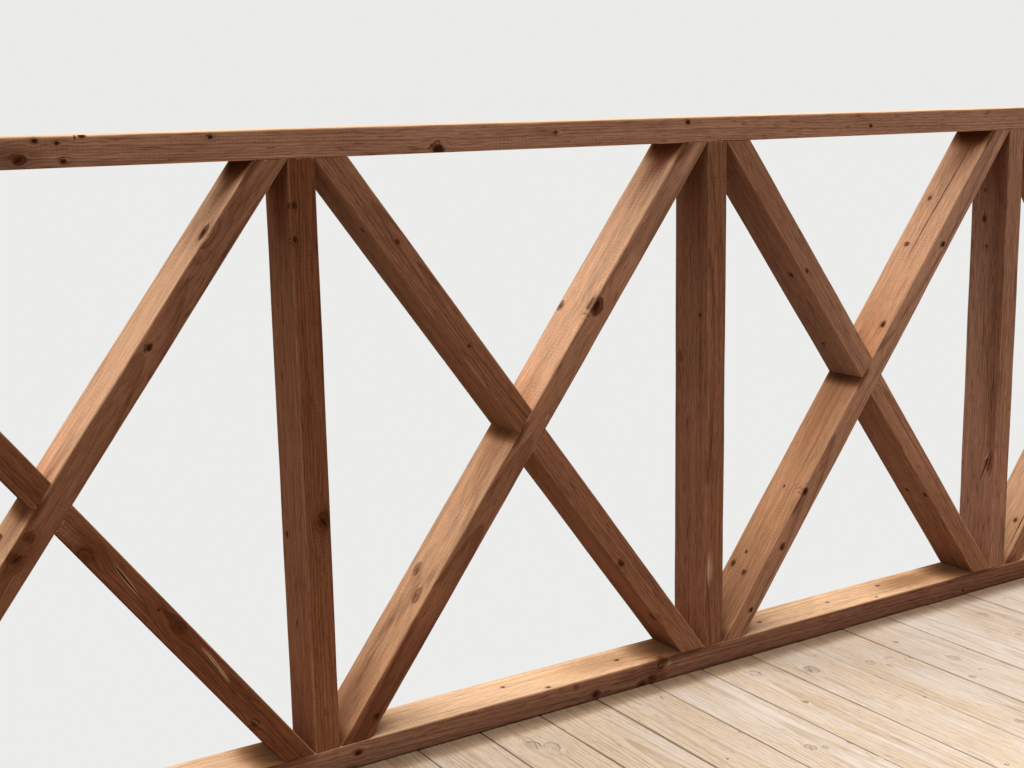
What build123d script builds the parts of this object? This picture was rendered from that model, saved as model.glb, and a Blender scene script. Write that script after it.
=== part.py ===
from build123d import *
from math import asin, atan2, ceil, cos, hypot, sin
import os

# Raised waterside deck with an X-braced timber railing along its water edge.
# Millimetres. X runs along the railing, Y points out over the water, Z is up.
# The origin is on the ground under the middle of the deck.

# Railing: planed timber of one section, its narrow face turned to the deck
bay_count = 5
bay_pitch = 820.0
rail_timber_width = 45.0
rail_timber_depth = 95.0
infill_height = 960.0
rail_arris_width = 3.0

# Decking: boards laid square to the railing with open gaps
board_width = 120.0
board_thickness = 28.0
board_gap = 5.0
board_length = 2700.0
board_arris_width = 2.0
boards_per_group = 5
deck_end_margin = 100.0
railing_offset = 20.0

# Frame under the boards
joist_count = 5
joist_width = 45.0
joist_depth = 145.0
joist_end_distance = 30.0
end_board_thickness = 28.0
end_board_offset = 10.0

# Paired bearers clasping round piles
bearer_line_count = 3
bearer_width = 45.0
bearer_depth = 195.0
bearer_end_distance = 385.0
pile_diameter = 150.0
pile_tenon_thickness = 100.0
pile_chamfer = 8.0
pile_end_distance = 360.0
deck_height = 1350.0

# Through bolts, two to a pile
bolt_diameter = 16.0
bolt_hole_diameter = 18.0
bolt_spacing = 100.0
bolt_tail_length = 12.0
bolt_head_thickness = 10.0
nut_thickness = 13.0
nut_width = 24.0
washer_width = 50.0
washer_thickness = 4.0

# Heights
deck_top = deck_height
board_bottom = deck_top - board_thickness
joist_bottom = board_bottom - joist_depth
bearer_bottom = joist_bottom - bearer_depth
infill_bottom = deck_top + rail_timber_width
infill_top = infill_bottom + infill_height

# Plan: the boards cover the railing's length and a margin past each end
railing_length = bay_count * bay_pitch + rail_timber_width
board_pitch = board_width + board_gap
board_count = ceil((railing_length + 2 * deck_end_margin + board_gap) / board_pitch)
deck_length = board_count * board_pitch - board_gap
deck_back = board_length / 2
railing_back = deck_back - railing_offset
railing_front = railing_back - rail_timber_depth
railing_left = -railing_length / 2

# The outermost joist stands under the middle of the sole plate, the last one
# just inside the boards' landward ends
first_joist_y = (railing_front + railing_back) / 2
last_joist_y = -board_length / 2 + joist_end_distance + joist_width / 2
joist_spacing = (first_joist_y - last_joist_y) / (joist_count - 1)
joist_length = deck_length - 2 * (end_board_offset + end_board_thickness)

bearer_spacing = (deck_length - 2 * bearer_end_distance) / (bearer_line_count - 1)
bearer_back = first_joist_y + joist_width / 2
bearer_front = last_joist_y - joist_width / 2
bearer_middle_z = (bearer_bottom + joist_bottom) / 2
pile_places = [bearer_front + pile_end_distance, bearer_back - pile_end_distance]
bolt_heights = [bearer_middle_z - bolt_spacing / 2, bearer_middle_z + bolt_spacing / 2]
bolt_grip = pile_tenon_thickness + 2 * bearer_width

nodes = {}


def block(x_range, y_range, z_range):
    """Square-edged timber between two corners."""
    size = [high - low for low, high in (x_range, y_range, z_range)]
    corner = (x_range[0], y_range[0], z_range[0])
    return Pos(*corner) * Box(*size, align=(Align.MIN, Align.MIN, Align.MIN))


def eased(timber, axis, arris):
    """The timber with the four long edges along the axis taken off."""
    return chamfer(timber.edges().filter_by(axis), arris)


def post_left(index):
    """Left face of a post, counted from 0 at the left end."""
    return railing_left + index * bay_pitch


def brace_band(left, right, rising):
    """Full-height brace across one bay, cut level at both ends.

    Its lower edge starts in the bottom corner of the bay and its upper edge
    ends in the corner diagonally across, so each end bears on one corner.
    """
    run = right - left
    slope = atan2(infill_height, run) + asin(rail_timber_width / hypot(run, infill_height))
    level_cut = rail_timber_width / sin(slope)
    outline = [
        (0, 0),
        (level_cut, 0),
        (run, infill_height),
        (run - level_cut, infill_height),
    ]
    if not rising:
        outline = [(run - x, z) for x, z in outline]
    face_plane = Plane(origin=(left, railing_front, infill_bottom), x_dir=(1, 0, 0), z_dir=(0, -1, 0))
    face = face_plane * make_face(Polyline(*outline, close=True))
    return extrude(face, amount=rail_timber_depth, dir=(0, 1, 0)), slope


def eased_brace(brace, slope, rising):
    """The brace with the edges along its length taken off."""
    along = Vector(cos(slope) if rising else -cos(slope), 0, sin(slope))
    return eased(brace, Axis((0, 0, 0), along), rail_arris_width)


# Railing
for i in range(bay_count + 1):
    left = post_left(i)
    post = block(
        (left, left + rail_timber_width),
        (railing_front, railing_back),
        (infill_bottom, infill_top),
    )
    nodes[f"post_{i + 1}"] = [eased(post, Axis.Z, rail_arris_width)]

for i in range(bay_count):
    bay = (post_left(i) + rail_timber_width, post_left(i + 1))
    long_brace, slope = brace_band(*bay, rising=True)
    crossing_brace, _ = brace_band(*bay, rising=False)
    short_braces = crossing_brace - long_brace
    nodes[f"long_brace_{i + 1}"] = [eased_brace(long_brace, slope, rising=True)]
    nodes[f"short_braces_{i + 1}"] = [eased_brace(short_braces, slope, rising=False)]

plate_ends = (railing_left, railing_left + railing_length)
plate_sides = (railing_front, railing_back)
sole_plate = block(plate_ends, plate_sides, (deck_top, infill_bottom))
top_rail = block(plate_ends, plate_sides, (infill_top, infill_top + rail_timber_width))
nodes["sole_plate"] = [eased(sole_plate, Axis.X, rail_arris_width)]
nodes["top_rail"] = [eased(top_rail, Axis.X, rail_arris_width)]

# Decking
boards = []
for i in range(board_count):
    left = -deck_length / 2 + i * board_pitch
    board = block(
        (left, left + board_width),
        (-board_length / 2, board_length / 2),
        (board_bottom, deck_top),
    )
    boards.append(eased(board, Axis.Y, board_arris_width))
for group, first in enumerate(range(0, board_count, boards_per_group)):
    nodes[f"deck_boards_{group + 1}"] = boards[first:first + boards_per_group]

# Joists, and the boards that close their ends
for i in range(joist_count):
    middle = first_joist_y - i * joist_spacing
    joist = block(
        (-joist_length / 2, joist_length / 2),
        (middle - joist_width / 2, middle + joist_width / 2),
        (joist_bottom, board_bottom),
    )
    nodes[f"joist_{i + 1}"] = [joist]
for name, side in (("left_end_board", -1), ("right_end_board", 1)):
    middle = side * (joist_length + end_board_thickness) / 2
    end_board = block(
        (middle - end_board_thickness / 2, middle + end_board_thickness / 2),
        (bearer_front, bearer_back),
        (joist_bottom, board_bottom),
    )
    nodes[name] = [end_board]

# Bearers, piles and bolts, one set to a line
def along_x(solid):
    """A solid made along Z, turned to lie along X."""
    return Rot(0, 90, 0) * solid


def bolt_holes(x):
    drill = along_x(Cylinder(bolt_hole_diameter / 2, bolt_grip + pile_diameter))
    return [Pos(x, y, z) * drill for y in pile_places for z in bolt_heights]


def through_bolt():
    """Hexagon bolt along X, with a square washer under its head and its nut."""
    low = (Align.CENTER, Align.CENTER, Align.MIN)
    hexagon = RegularPolygon(nut_width / 2, 6, major_radius=False)
    washer = Box(washer_width, washer_width, washer_thickness, align=low)
    seat = bolt_grip / 2
    outside = seat + washer_thickness
    shank_length = seat + outside + nut_thickness + bolt_tail_length
    nut_end = Pos(0, 0, seat) * washer + Pos(0, 0, outside) * extrude(hexagon, nut_thickness)
    head_end = Pos(0, 0, seat) * washer + Pos(0, 0, outside) * extrude(hexagon, bolt_head_thickness)
    shank = Pos(0, 0, -seat) * Cylinder(bolt_diameter / 2, shank_length, align=low)
    return along_x(shank + nut_end + mirror(head_end, Plane.XY))


def pile(x, y):
    """Round pile with both sides notched at the top to carry the bearers."""
    shaft = Pos(x, y, 0) * Cylinder(
        pile_diameter / 2, joist_bottom, align=(Align.CENTER, Align.CENTER, Align.MIN)
    )
    shaft = chamfer(shaft.edges().group_by(Axis.Z)[-1], pile_chamfer)
    for side in (-1, 1):
        inner = x + side * pile_tenon_thickness / 2
        outer = x + side * pile_diameter
        notch = block(
            sorted((inner, outer)), (y - pile_diameter, y + pile_diameter), (bearer_bottom, deck_top)
        )
        shaft -= notch
    return shaft


for line in range(bearer_line_count):
    x = (line - (bearer_line_count - 1) / 2) * bearer_spacing
    holes = bolt_holes(x)
    bearers = []
    for side in (-1, 1):
        inner = x + side * pile_tenon_thickness / 2
        outer = inner + side * bearer_width
        bearer = block(sorted((inner, outer)), (bearer_front, bearer_back), (bearer_bottom, joist_bottom))
        bearers.append(bearer - holes)
    nodes[f"bearers_{line + 1}"] = bearers
    for row, y in enumerate(pile_places):
        number = line * len(pile_places) + row + 1
        nodes[f"pile_{number}"] = [pile(x, y) - holes]
    bolt = through_bolt()
    nodes[f"bolts_{line + 1}"] = [Pos(x, y, z) * bolt for y in pile_places for z in bolt_heights]

os.makedirs("parts", exist_ok=True)
for name, pieces in nodes.items():
    solids = [solid for piece in pieces for solid in piece.solids()]
    shape = solids[0] if len(solids) == 1 else Compound(children=solids)
    export_step(shape, f"parts/{name}.step")
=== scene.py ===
import math
import random
from collections import namedtuple

import bmesh
import bpy
import numpy as np
from bpy.props import FloatProperty, FloatVectorProperty, PointerProperty
from mathutils import Matrix, Vector


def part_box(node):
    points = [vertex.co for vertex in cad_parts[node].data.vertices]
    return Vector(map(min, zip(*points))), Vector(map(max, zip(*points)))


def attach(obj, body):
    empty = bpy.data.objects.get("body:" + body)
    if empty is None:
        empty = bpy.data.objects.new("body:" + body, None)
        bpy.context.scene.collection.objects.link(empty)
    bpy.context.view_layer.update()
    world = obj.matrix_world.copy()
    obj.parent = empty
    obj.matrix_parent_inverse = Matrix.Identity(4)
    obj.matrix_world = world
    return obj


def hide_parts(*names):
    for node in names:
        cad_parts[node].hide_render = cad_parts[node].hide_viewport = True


bl_info = {
    "name": "Waterside Deck",
    "version": (1, 0, 0),
    "blender": (4, 5, 0),
    "location": "3D View > Sidebar > Waterside Deck",
    "description": "Timbers, fixings and studio of a raised deck with an X-braced railing",
    "category": "Add Mesh",
}

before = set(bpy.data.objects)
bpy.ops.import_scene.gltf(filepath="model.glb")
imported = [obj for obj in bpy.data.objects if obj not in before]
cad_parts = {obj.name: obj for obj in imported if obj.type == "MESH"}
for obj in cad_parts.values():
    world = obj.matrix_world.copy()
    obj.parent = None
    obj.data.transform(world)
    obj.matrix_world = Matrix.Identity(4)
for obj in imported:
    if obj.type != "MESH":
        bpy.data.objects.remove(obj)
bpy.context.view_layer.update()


def count_of(start):
    """How many of the deck's sub-parts have a name that starts so."""
    return sum(name.startswith(start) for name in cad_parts)


def extent(node):
    """Size of a sub-part along X, Y and Z."""
    low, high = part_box(node)
    return high - low


BAYS = count_of("long_brace_")
BOARD_GROUPS = count_of("deck_boards_")
JOISTS = count_of("joist_")
LINES = count_of("bearers_")
PILES = count_of("pile_")
RAIL_TIMBER_WIDTH, RAIL_TIMBER_DEPTH, INFILL_HEIGHT = extent("post_1")
BOARDS_PER_GROUP = 5
BOARD_WIDTH = 0.120
LAST_BOARD = BOARD_GROUPS * BOARDS_PER_GROUP - 1


# Settings


def colour(name, description, default):
    """A colour that a user may change."""
    return FloatVectorProperty(
        name=name, description=description, default=default, subtype="COLOR", size=3, min=0, max=1
    )


def distance(name, description, default):
    """A length that a user may change."""
    return FloatProperty(
        name=name,
        description=description,
        default=default,
        min=0,
        precision=4,
        subtype="DISTANCE",
        unit="LENGTH",
    )


def angle(name, description, default):
    """A turn that a user may change."""
    return FloatProperty(name=name, description=description, default=default, subtype="ANGLE")


def strength(name, description, default):
    """A light's strength that a user may change."""
    return FloatProperty(name=name, description=description, default=default, min=0)


class RailingSettings(bpy.types.PropertyGroup):
    """Edges, grain and stain of the railing's planed timbers."""

    arris: distance("Arris", "Radius along the planed edges", 0.003)
    unevenness: distance("Unevenness", "How far a planed face falls short of flat", 0.0005)
    ring_width: distance("Ring width", "Spacing of the growth rings", 0.0042)
    early_wood: colour("Early wood", "Stained colour between the growth lines", (0.40, 0.18, 0.094))
    late_wood: colour("Late wood", "Stained colour of the growth lines", (0.17, 0.055, 0.024))
    knot: colour("Knot", "Stained colour of a sound knot", (0.15, 0.047, 0.02))
    bleached: colour("Bleached", "Where the sky has lightened the stain", (0.86, 0.50, 0.29))
    bleached_late: colour("Bleached growth lines", "Growth lines lightened by the sky", (0.56, 0.28, 0.145))
    faded: colour("Faded", "Where the stain has lost its red", (0.50, 0.275, 0.182))
    worn: colour("Worn edge", "Where the stain is rubbed off an arris", (0.62, 0.36, 0.22))
    raw: colour("Raw wood", "Torn fibres that took no stain", (0.68, 0.46, 0.28))


class DeckingSettings(bpy.types.PropertyGroup):
    """Edges, grain and weathering of the deck boards."""

    arris: distance("Arris", "Radius along the board edges", 0.0012)
    cupping: distance("Cupping", "How far a board's face falls short of flat", 0.0007)
    swelling: distance("Swelling", "How much wider than its nominal size a damp board stands", 0.003)
    end_trim: distance("End trim", "Largest shortfall of a board's length at one end", 0.004)
    ring_width: distance("Ring width", "Spacing of the growth rings", 0.0048)
    early_wood: colour("Early wood", "Colour between the growth lines", (0.86, 0.68, 0.50))
    late_wood: colour("Late wood", "Colour of the growth lines", (0.50, 0.31, 0.16))
    knot: colour("Knot", "Colour of a sound knot", (0.42, 0.27, 0.15))
    bleached: colour("Bleached", "Where the sky has lightened the wood", (0.88, 0.76, 0.66))
    bleached_late: colour("Bleached growth lines", "Growth lines turned grey", (0.50, 0.40, 0.32))
    faded: colour("Faded", "Where a board has turned grey", (0.66, 0.58, 0.50))
    worn: colour("Edge", "Colour held along the arrises", (0.70, 0.51, 0.33))
    raw: colour("Raw wood", "Torn fibres", (0.78, 0.60, 0.42))


class SupportSettings(bpy.types.PropertyGroup):
    """Grain and treatment of the joists, bearers and piles."""

    arris: distance("Arris", "Radius along the sawn edges", 0.0015)
    unevenness: distance("Unevenness", "How far a sawn face falls short of flat", 0.001)
    ring_width: distance("Ring width", "Spacing of the growth rings", 0.0045)
    early_wood: colour("Early wood", "Treated colour between the growth lines", (0.44, 0.36, 0.23))
    late_wood: colour("Late wood", "Treated colour of the growth lines", (0.27, 0.20, 0.11))
    knot: colour("Knot", "Treated colour of a sound knot", (0.20, 0.13, 0.07))
    pile_early_wood: colour("Pile, early wood", "Weathered colour of a pile", (0.33, 0.26, 0.18))
    pile_late_wood: colour("Pile, late wood", "Weathered colour of a pile's growth lines", (0.19, 0.14, 0.09))
    damp: distance("Damp height", "How far up the water has darkened a pile", 0.28)


class FixingSettings(bpy.types.PropertyGroup):
    """Screws in the boards and rails, and the bolts through the piles."""

    head_radius: distance("Screw head radius", "Radius of a board screw's head", 0.0042)
    edge_distance: distance("Edge distance", "From a board's edge to its screws", 0.02)
    zinc: colour("Zinc", "Colour of the bolts' coating", (0.56, 0.57, 0.58))
    steel: colour("Screw steel", "Colour of the screw heads", (0.42, 0.38, 0.31))


class StudioSettings(bpy.types.PropertyGroup):
    """Camera, floor and light."""

    camera_place: FloatVectorProperty(
        name="Camera place",
        description="Where the camera stands",
        default=(-2.15783, -0.81863, 2.43856),
        subtype="TRANSLATION",
        unit="LENGTH",
        size=3,
    )
    camera_heading: angle("Camera heading", "Turn from +Y towards +X", 0.563293)
    camera_dip: angle("Camera dip", "Angle below the horizon", 0.193539)
    camera_roll: angle("Camera roll", "Turn about the line of sight", -0.01868)
    focal_length: FloatProperty(
        name="Focal length",
        description="On a sensor 36 mm wide",
        default=51.235,
        min=1,
        subtype="DISTANCE_CAMERA",
    )
    sky_strength: strength("Sky strength", "Strength of the overhead light", 3.85)
    sky_spread: angle("Sky spread", "Angle that the overhead light fills", 1.7)
    fill_strength: strength("Fill strength", "Strength of the light all round", 0.07)
    backdrop: colour("Backdrop", "Colour beyond the floor", (0.83, 0.83, 0.82))
    floor: colour("Floor", "Colour of the floor", (0.68, 0.68, 0.67))
    floor_bounce: colour("Floor bounce", "Colour that the floor throws on the object", (0.10, 0.10, 0.10))


# Shader wiring


class Wiring:
    """Adds nodes to one shader tree and wires each as it is made."""

    def __init__(self, tree):
        self.tree = tree

    def node(self, kind, **settings):
        made = self.tree.nodes.new(kind)
        for name, value in settings.items():
            setattr(made, name, value)
        return made

    def feed(self, socket, value):
        """Wires a socket to another node, or sets its own value."""
        if isinstance(value, bpy.types.NodeSocket):
            self.tree.links.new(value, socket)
        else:
            socket.default_value = value

    def fed(self, made, values):
        for socket, value in zip(made.inputs, values):
            self.feed(socket, value)
        return made.outputs[0]

    def math(self, operation, *values):
        return self.fed(self.node("ShaderNodeMath", operation=operation), values)

    def total(self, first, *others):
        for value in others:
            first = self.math("ADD", first, value)
        return first

    def product(self, first, *others):
        for value in others:
            first = self.math("MULTIPLY", first, value)
        return first

    def largest(self, first, *others):
        for value in others:
            first = self.math("MAXIMUM", first, value)
        return first

    def line(self, value, slope, offset):
        """The value times slope, plus offset."""
        return self.math("MULTIPLY_ADD", value, slope, offset)

    def step(self, value, low, high):
        """0 at low and 1 at high, smooth between them; low may be the larger."""
        made = self.node("ShaderNodeMapRange", interpolation_type="SMOOTHSTEP")
        return self.fed(made, (value, low, high, 0.0, 1.0))

    def mix(self, amount, first, second, blend="MIX"):
        """From the first colour to the second, or to their product."""
        made = self.node("ShaderNodeMix", data_type="RGBA", blend_type=blend)
        self.feed(made.inputs[0], amount)
        for socket, value in zip(made.inputs[6:8], (first, second)):
            self.feed(socket, (*value, 1.0) if isinstance(value, (tuple, list)) else value)
        return made.outputs[2]

    def scaled(self, vector, amount):
        """A vector or a colour times a number."""
        made = self.node("ShaderNodeVectorMath", operation="SCALE")
        self.feed(made.inputs[0], vector)
        self.feed(made.inputs["Scale"], amount)
        return made.outputs[0]

    def stretched(self, vector, factors):
        made = self.node("ShaderNodeVectorMath", operation="MULTIPLY")
        return self.fed(made, (vector, factors))

    def split(self, vector):
        made = self.node("ShaderNodeSeparateXYZ")
        self.feed(made.inputs[0], vector)
        return made.outputs

    def length(self, x, y):
        """How far (x, y) lies from 0."""
        return self.math("SQRT", self.total(self.product(x, x), self.product(y, y)))

    def join(self, x, y, z):
        return self.fed(self.node("ShaderNodeCombineXYZ"), (x, y, z))

    def noise(self, vector, factors, detail=0.0, roughness=0.5):
        """Noise from 0 to 1, its fineness set along each axis by a factor."""
        made = self.node("ShaderNodeTexNoise")
        self.feed(made.inputs["Vector"], self.stretched(vector, factors))
        made.inputs["Scale"].default_value = 1.0
        made.inputs["Detail"].default_value = detail
        made.inputs["Roughness"].default_value = roughness
        return made.outputs[0]

    def swing(self, vector, factors):
        """Noise from -1 to 1."""
        return self.line(self.noise(vector, factors, detail=1.0), 2.0, -1.0)

    def attribute(self, name):
        return self.node("ShaderNodeAttribute", attribute_name=name).outputs["Vector"]

    def use(self, group, **values):
        """Places a node group and gives its outputs by name."""
        made = self.node("ShaderNodeGroup", node_tree=group)
        for name, value in values.items():
            self.feed(made.inputs[name.replace("_", " ").title()], value)
        return {socket.name: socket for socket in made.outputs}

    def in_view(self):
        """1 for what the camera sees, straight or through gloss or glass, and 0 for the rest."""
        rays = self.node("ShaderNodeLightPath").outputs
        return self.largest(rays["Is Camera Ray"], rays["Is Glossy Ray"], rays["Is Transmission Ray"])

    def either(self, amount, first, second):
        """The first shader at 0 and the second at 1."""
        return self.fed(self.node("ShaderNodeMixShader"), (amount, first, second))

    def relief(self, surface, height, strength, depth):
        """Shades a surface as if it rose and fell with the height."""
        bump = self.node("ShaderNodeBump")
        bump.inputs["Strength"].default_value = strength
        bump.inputs["Distance"].default_value = depth
        self.feed(bump.inputs["Height"], height)
        self.feed(surface.inputs["Normal"], bump.outputs["Normal"])

    def show(self, shader, kind="ShaderNodeOutputMaterial"):
        """Makes this the shader that is drawn."""
        self.feed(self.node(kind).inputs["Surface"], shader)


def new_group(name, inputs, outputs):
    """An empty shader group of numbers, with its wiring, its inputs and its outputs."""
    group = bpy.data.node_groups.new(name, "ShaderNodeTree")
    for label, default in inputs.items():
        socket = group.interface.new_socket(name=label, in_out="INPUT", socket_type="NodeSocketFloat")
        socket.default_value = default
    for label in outputs:
        group.interface.new_socket(name=label, in_out="OUTPUT", socket_type="NodeSocketFloat")
    wires = Wiring(group)
    return group, wires, wires.node("NodeGroupInput").outputs, wires.node("NodeGroupOutput").inputs


def knot_figure(wires, place, bend):
    """Masks of one set of knots, and how far the grain is pushed aside beside them."""
    along, across, reach = wires.split(place)
    bend_across, bend_through, dark = wires.split(bend)
    seed = wires.join(along, across, wires.product(dark, 40.0))
    wobble = wires.swing(seed, (0.9, 0.9, 1.0))
    radius = wires.product(wires.length(along, across), wires.line(wobble, 0.45, 1.0))
    seen = wires.step(reach, 0.55, 0.8)
    slanting = wires.total(wires.product(along, 0.6), across)
    core = wires.product(wires.step(radius, 1.05, 0.8), seen)
    broken = wires.step(wires.total(wobble, wires.product(slanting, 0.35)), -0.55, 0.35)
    rim = wires.product(wires.step(radius, 0.78, 0.96), wires.step(radius, 1.22, 1.02), seen, broken)
    beyond_rim = wires.product(wires.step(radius, 1.15, 1.3), wires.step(radius, 1.6, 1.45))
    crescent = wires.product(beyond_rim, wires.step(slanting, -0.7, -1.1), seen, wires.step(dark, 0.4, 0.8))
    rim = wires.largest(rim, crescent)
    halo = wires.product(wires.math("EXPONENT", wires.line(radius, -1.2, 0.9)), seen)
    blotch = wires.step(wires.noise(seed, (2.3, 2.3, 1.0), detail=1.0), 0.4, 0.62)
    rings = wires.product(wires.line(wires.math("SINE", wires.line(radius, 13.0, wobble)), 0.3, 0.7), blotch)
    slant = wires.total(across, wires.product(along, 0.5), wires.product(wobble, 0.6))
    split = wires.product(
        wires.step(wires.math("ABSOLUTE", slant), 0.14, 0.03), core, wires.step(dark, 0.45, 0.6)
    )
    beside = wires.math("ABSOLUTE", across)
    beyond = wires.largest(wires.line(beside, 1.0, -1.0), 0.0)
    fall = wires.line(beyond, -0.55, wires.product(along, along, -0.2))
    push = wires.product(wires.math("EXPONENT", fall), reach, wires.math("MINIMUM", beside, 1.0))
    push = wires.product(push, wires.math("SIGN", across))
    shift = wires.join(0.0, wires.product(bend_across, push), wires.product(bend_through, push))
    return {
        "core": core,
        "rim": rim,
        "halo": halo,
        "rings": rings,
        "split": split,
        "dark": dark,
        "shift": shift,
    }


def make_timber_figure():
    """Growth rings round the pith, fibres along it, and knots that the rings flow round."""
    group, wires, given, results = new_group(
        "timber_figure",
        {"Ring Width": 0.004, "Waviness": 0.006, "Taper": 0.008, "Fineness": 1.0},
        (
            "Latewood",
            "Ring Tone",
            "Fibre",
            "Streak",
            "Fleck",
            "Knot",
            "Knot Ring",
            "Knot Dark",
            "Rim",
            "Halo",
            "Split",
        ),
    )
    grain = wires.attribute("grain")
    sets = []
    for name in ("knot_a", "knot_b"):
        knots = knot_figure(wires, wires.attribute(name), wires.attribute(name + "_bend"))
        moved = wires.node("ShaderNodeVectorMath", operation="SUBTRACT")
        grain = wires.fed(moved, (grain, knots["shift"]))
        sets.append(knots)

    along, across, through = wires.split(grain)
    slow = wires.swing(grain, (0.8, 8.0, 8.0))
    quick = wires.swing(grain, (5.0, 45.0, 45.0))
    reach = wires.total(
        wires.length(across, through),
        wires.product(slow, given["Waviness"]),
        wires.product(quick, given["Waviness"], 0.07),
        wires.product(along, given["Taper"]),
    )
    spacing = wires.noise(wires.join(reach, reach, 0.0), (42.0, 42.0, 1.0), detail=1.0)
    phase = wires.math("DIVIDE", reach, given["Ring Width"])
    phase = wires.total(phase, wires.product(spacing, 1.5))
    part = wires.math("FRACT", phase)
    wires.feed(results["Latewood"], wires.product(wires.step(part, 0.45, 0.92), wires.step(part, 1.0, 0.95)))
    ring = wires.node("ShaderNodeTexWhiteNoise", noise_dimensions="1D")
    wires.feed(ring.inputs["W"], wires.math("FLOOR", phase))
    wires.feed(results["Ring Tone"], ring.outputs["Value"])
    fibre = wires.scaled(grain, given["Fineness"])
    wires.feed(results["Fibre"], wires.noise(fibre, (27.0, 397.0, 397.0), detail=3.0, roughness=0.78))
    wires.feed(results["Streak"], wires.noise(fibre, (2.5, 131.0, 131.0), detail=2.0, roughness=0.6))
    wires.feed(results["Fleck"], wires.step(wires.noise(grain, (38.0, 480.0, 480.0)), 0.64, 0.74))

    for label, mask in (("Knot", "core"), ("Rim", "rim"), ("Halo", "halo"), ("Split", "split")):
        wires.feed(results[label], wires.largest(*(knots[mask] for knots in sets)))
    for label, shading, mask in (("Knot Ring", "rings", "core"), ("Knot Dark", "dark", "halo")):
        shaded = (wires.product(knots[shading], knots[mask]) for knots in sets)
        wires.feed(results[label], wires.largest(*shaded))
    return group


def make_timber_weathering_and_shade():
    """What use and weathering did: rubbed edges, bleaching from above, drying checks, saw cuts; it also
    passes on the tone and the marks, which carry painted shade.
    """
    group, wires, given, results = new_group(
        "timber_weathering",
        {"Edge Wear": 0.6, "Bleaching": 0.5, "Checking": 0.5, "Planing": 0.5, "Fineness": 1.0},
        (
            "Worn Edge",
            "Bleached",
            "Sunned",
            "Patch",
            "Hairline",
            "End Grain",
            "Crack",
            "Tone",
            "Torn",
            "Faded",
            "Cutter Mark",
        ),
    )
    grain = wires.attribute("grain")
    # The third of the marks is painted shade inside cut checks and cracks and on the walls of the gaps
    # between boards
    arris, end_grain, crack = wires.split(wires.attribute("marks"))
    tone, torn, faded = wires.split(wires.attribute("finish"))
    along, _, _ = wires.split(grain)
    fibre = wires.scaled(grain, given["Fineness"])
    patch = wires.noise(grain, (4.5, 21.0, 21.0), detail=4.0, roughness=0.62)
    rub = wires.noise(grain, (14.0, 60.0, 60.0), detail=2.0, roughness=0.65)
    worn = wires.product(wires.step(arris, 0.25, 0.9), wires.step(rub, 0.38, 0.62), given["Edge Wear"])
    wires.feed(results["Worn Edge"], worn)
    _, _, upward = wires.split(wires.node("ShaderNodeNewGeometry").outputs["Normal"])
    covered = wires.step(wires.total(patch, wires.product(faded, 0.25)), 0.28, 0.54)
    wires.feed(results["Bleached"], wires.product(wires.step(upward, 0.0, 0.6), covered, given["Bleaching"]))
    wires.feed(results["Sunned"], wires.product(wires.step(upward, 0.65, 0.95), faded))
    wires.feed(results["Patch"], patch)
    ridge = wires.math("ABSOLUTE", wires.line(wires.noise(fibre, (1.7, 75.0, 75.0), detail=1.0), 1.0, -0.5))
    where = wires.step(wires.noise(grain, (1.3, 14.0, 14.0)), 0.5, 0.66)
    wires.feed(results["Hairline"], wires.product(wires.step(ridge, 0.014, 0.003), where, given["Checking"]))
    pace = wires.math("SINE", wires.total(wires.product(along, 880.0), wires.product(patch, 14.0)))
    pressed = wires.step(rub, 0.4, 0.7)
    wires.feed(results["Cutter Mark"], wires.product(wires.step(pace, 0.2, 0.9), pressed, given["Planing"]))
    carried = {"End Grain": end_grain, "Crack": crack, "Tone": tone, "Torn": torn, "Faded": faded}
    for label, value in carried.items():
        wires.feed(results[label], value)
    return group


# The colours of a wood that a user may change
WOOD_COLOURS = ("early_wood", "late_wood", "knot", "bleached", "bleached_late", "faded", "worn", "raw")

Wood = namedtuple(
    "Wood",
    " ".join(WOOD_COLOURS) + " ring_width waviness taper contrast streaks edge_wear bleaching checking"
    " roughness relief gloss fineness planing clouds fibres halo knot_depth",
)


def darker(shade, share):
    """A colour with that share of its light."""
    return tuple(share * part for part in shade)


def shared_group(name, make):
    """The group of that name, made the first time that it is asked for."""
    return bpy.data.node_groups.get(name) or make()


def bleached_colour(wires, wood, rings, tint, weather):
    """One wood's colour where the sky has lightened it."""
    pale = wires.mix(wires.product(rings, 0.6), wood.bleached, wood.bleached_late)
    # High tone, mostly from the bands of painted shade, darkens and warms the pale colour: painted shade,
    # warmed as by light thrown back from the stained timber
    pale = wires.mix(wires.product(weather["Tone"], 0.25), pale, tint, "MULTIPLY")
    pale = wires.mix(weather["Faded"], pale, (1.12, 1.12, 1.15), "MULTIPLY")
    pale = wires.mix(weather["Sunned"], pale, (1.35, 1.55, 1.6), "MULTIPLY")
    pale = wires.scaled(pale, wires.largest(wires.line(weather["Tone"], -0.2, 1.0), 0.1))
    return wires.mix(wires.product(weather["Tone"], 0.5), pale, (1.0, 0.8, 0.6), "MULTIPLY")


def knotted_colour(wires, wood, shade, figure):
    """A colour with the knots in it, and the grain darkened round them."""
    dark_knot = darker(wood.knot, 0.38)
    depth = wires.line(figure["Knot Dark"], 0.7, wood.knot_depth)
    shade = wires.mix(wires.product(figure["Halo"], depth, 0.5), shade, wood.halo)
    heart = wires.mix(depth, wood.knot, dark_knot)
    shade = wires.mix(wires.product(figure["Knot"], depth), shade, heart)
    shade = wires.mix(wires.product(figure["Knot"], figure["Knot Ring"], 0.35), shade, wood.knot)
    return wires.mix(wires.product(figure["Rim"], wires.line(depth, 0.4, 0.55)), shade, dark_knot)


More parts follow.
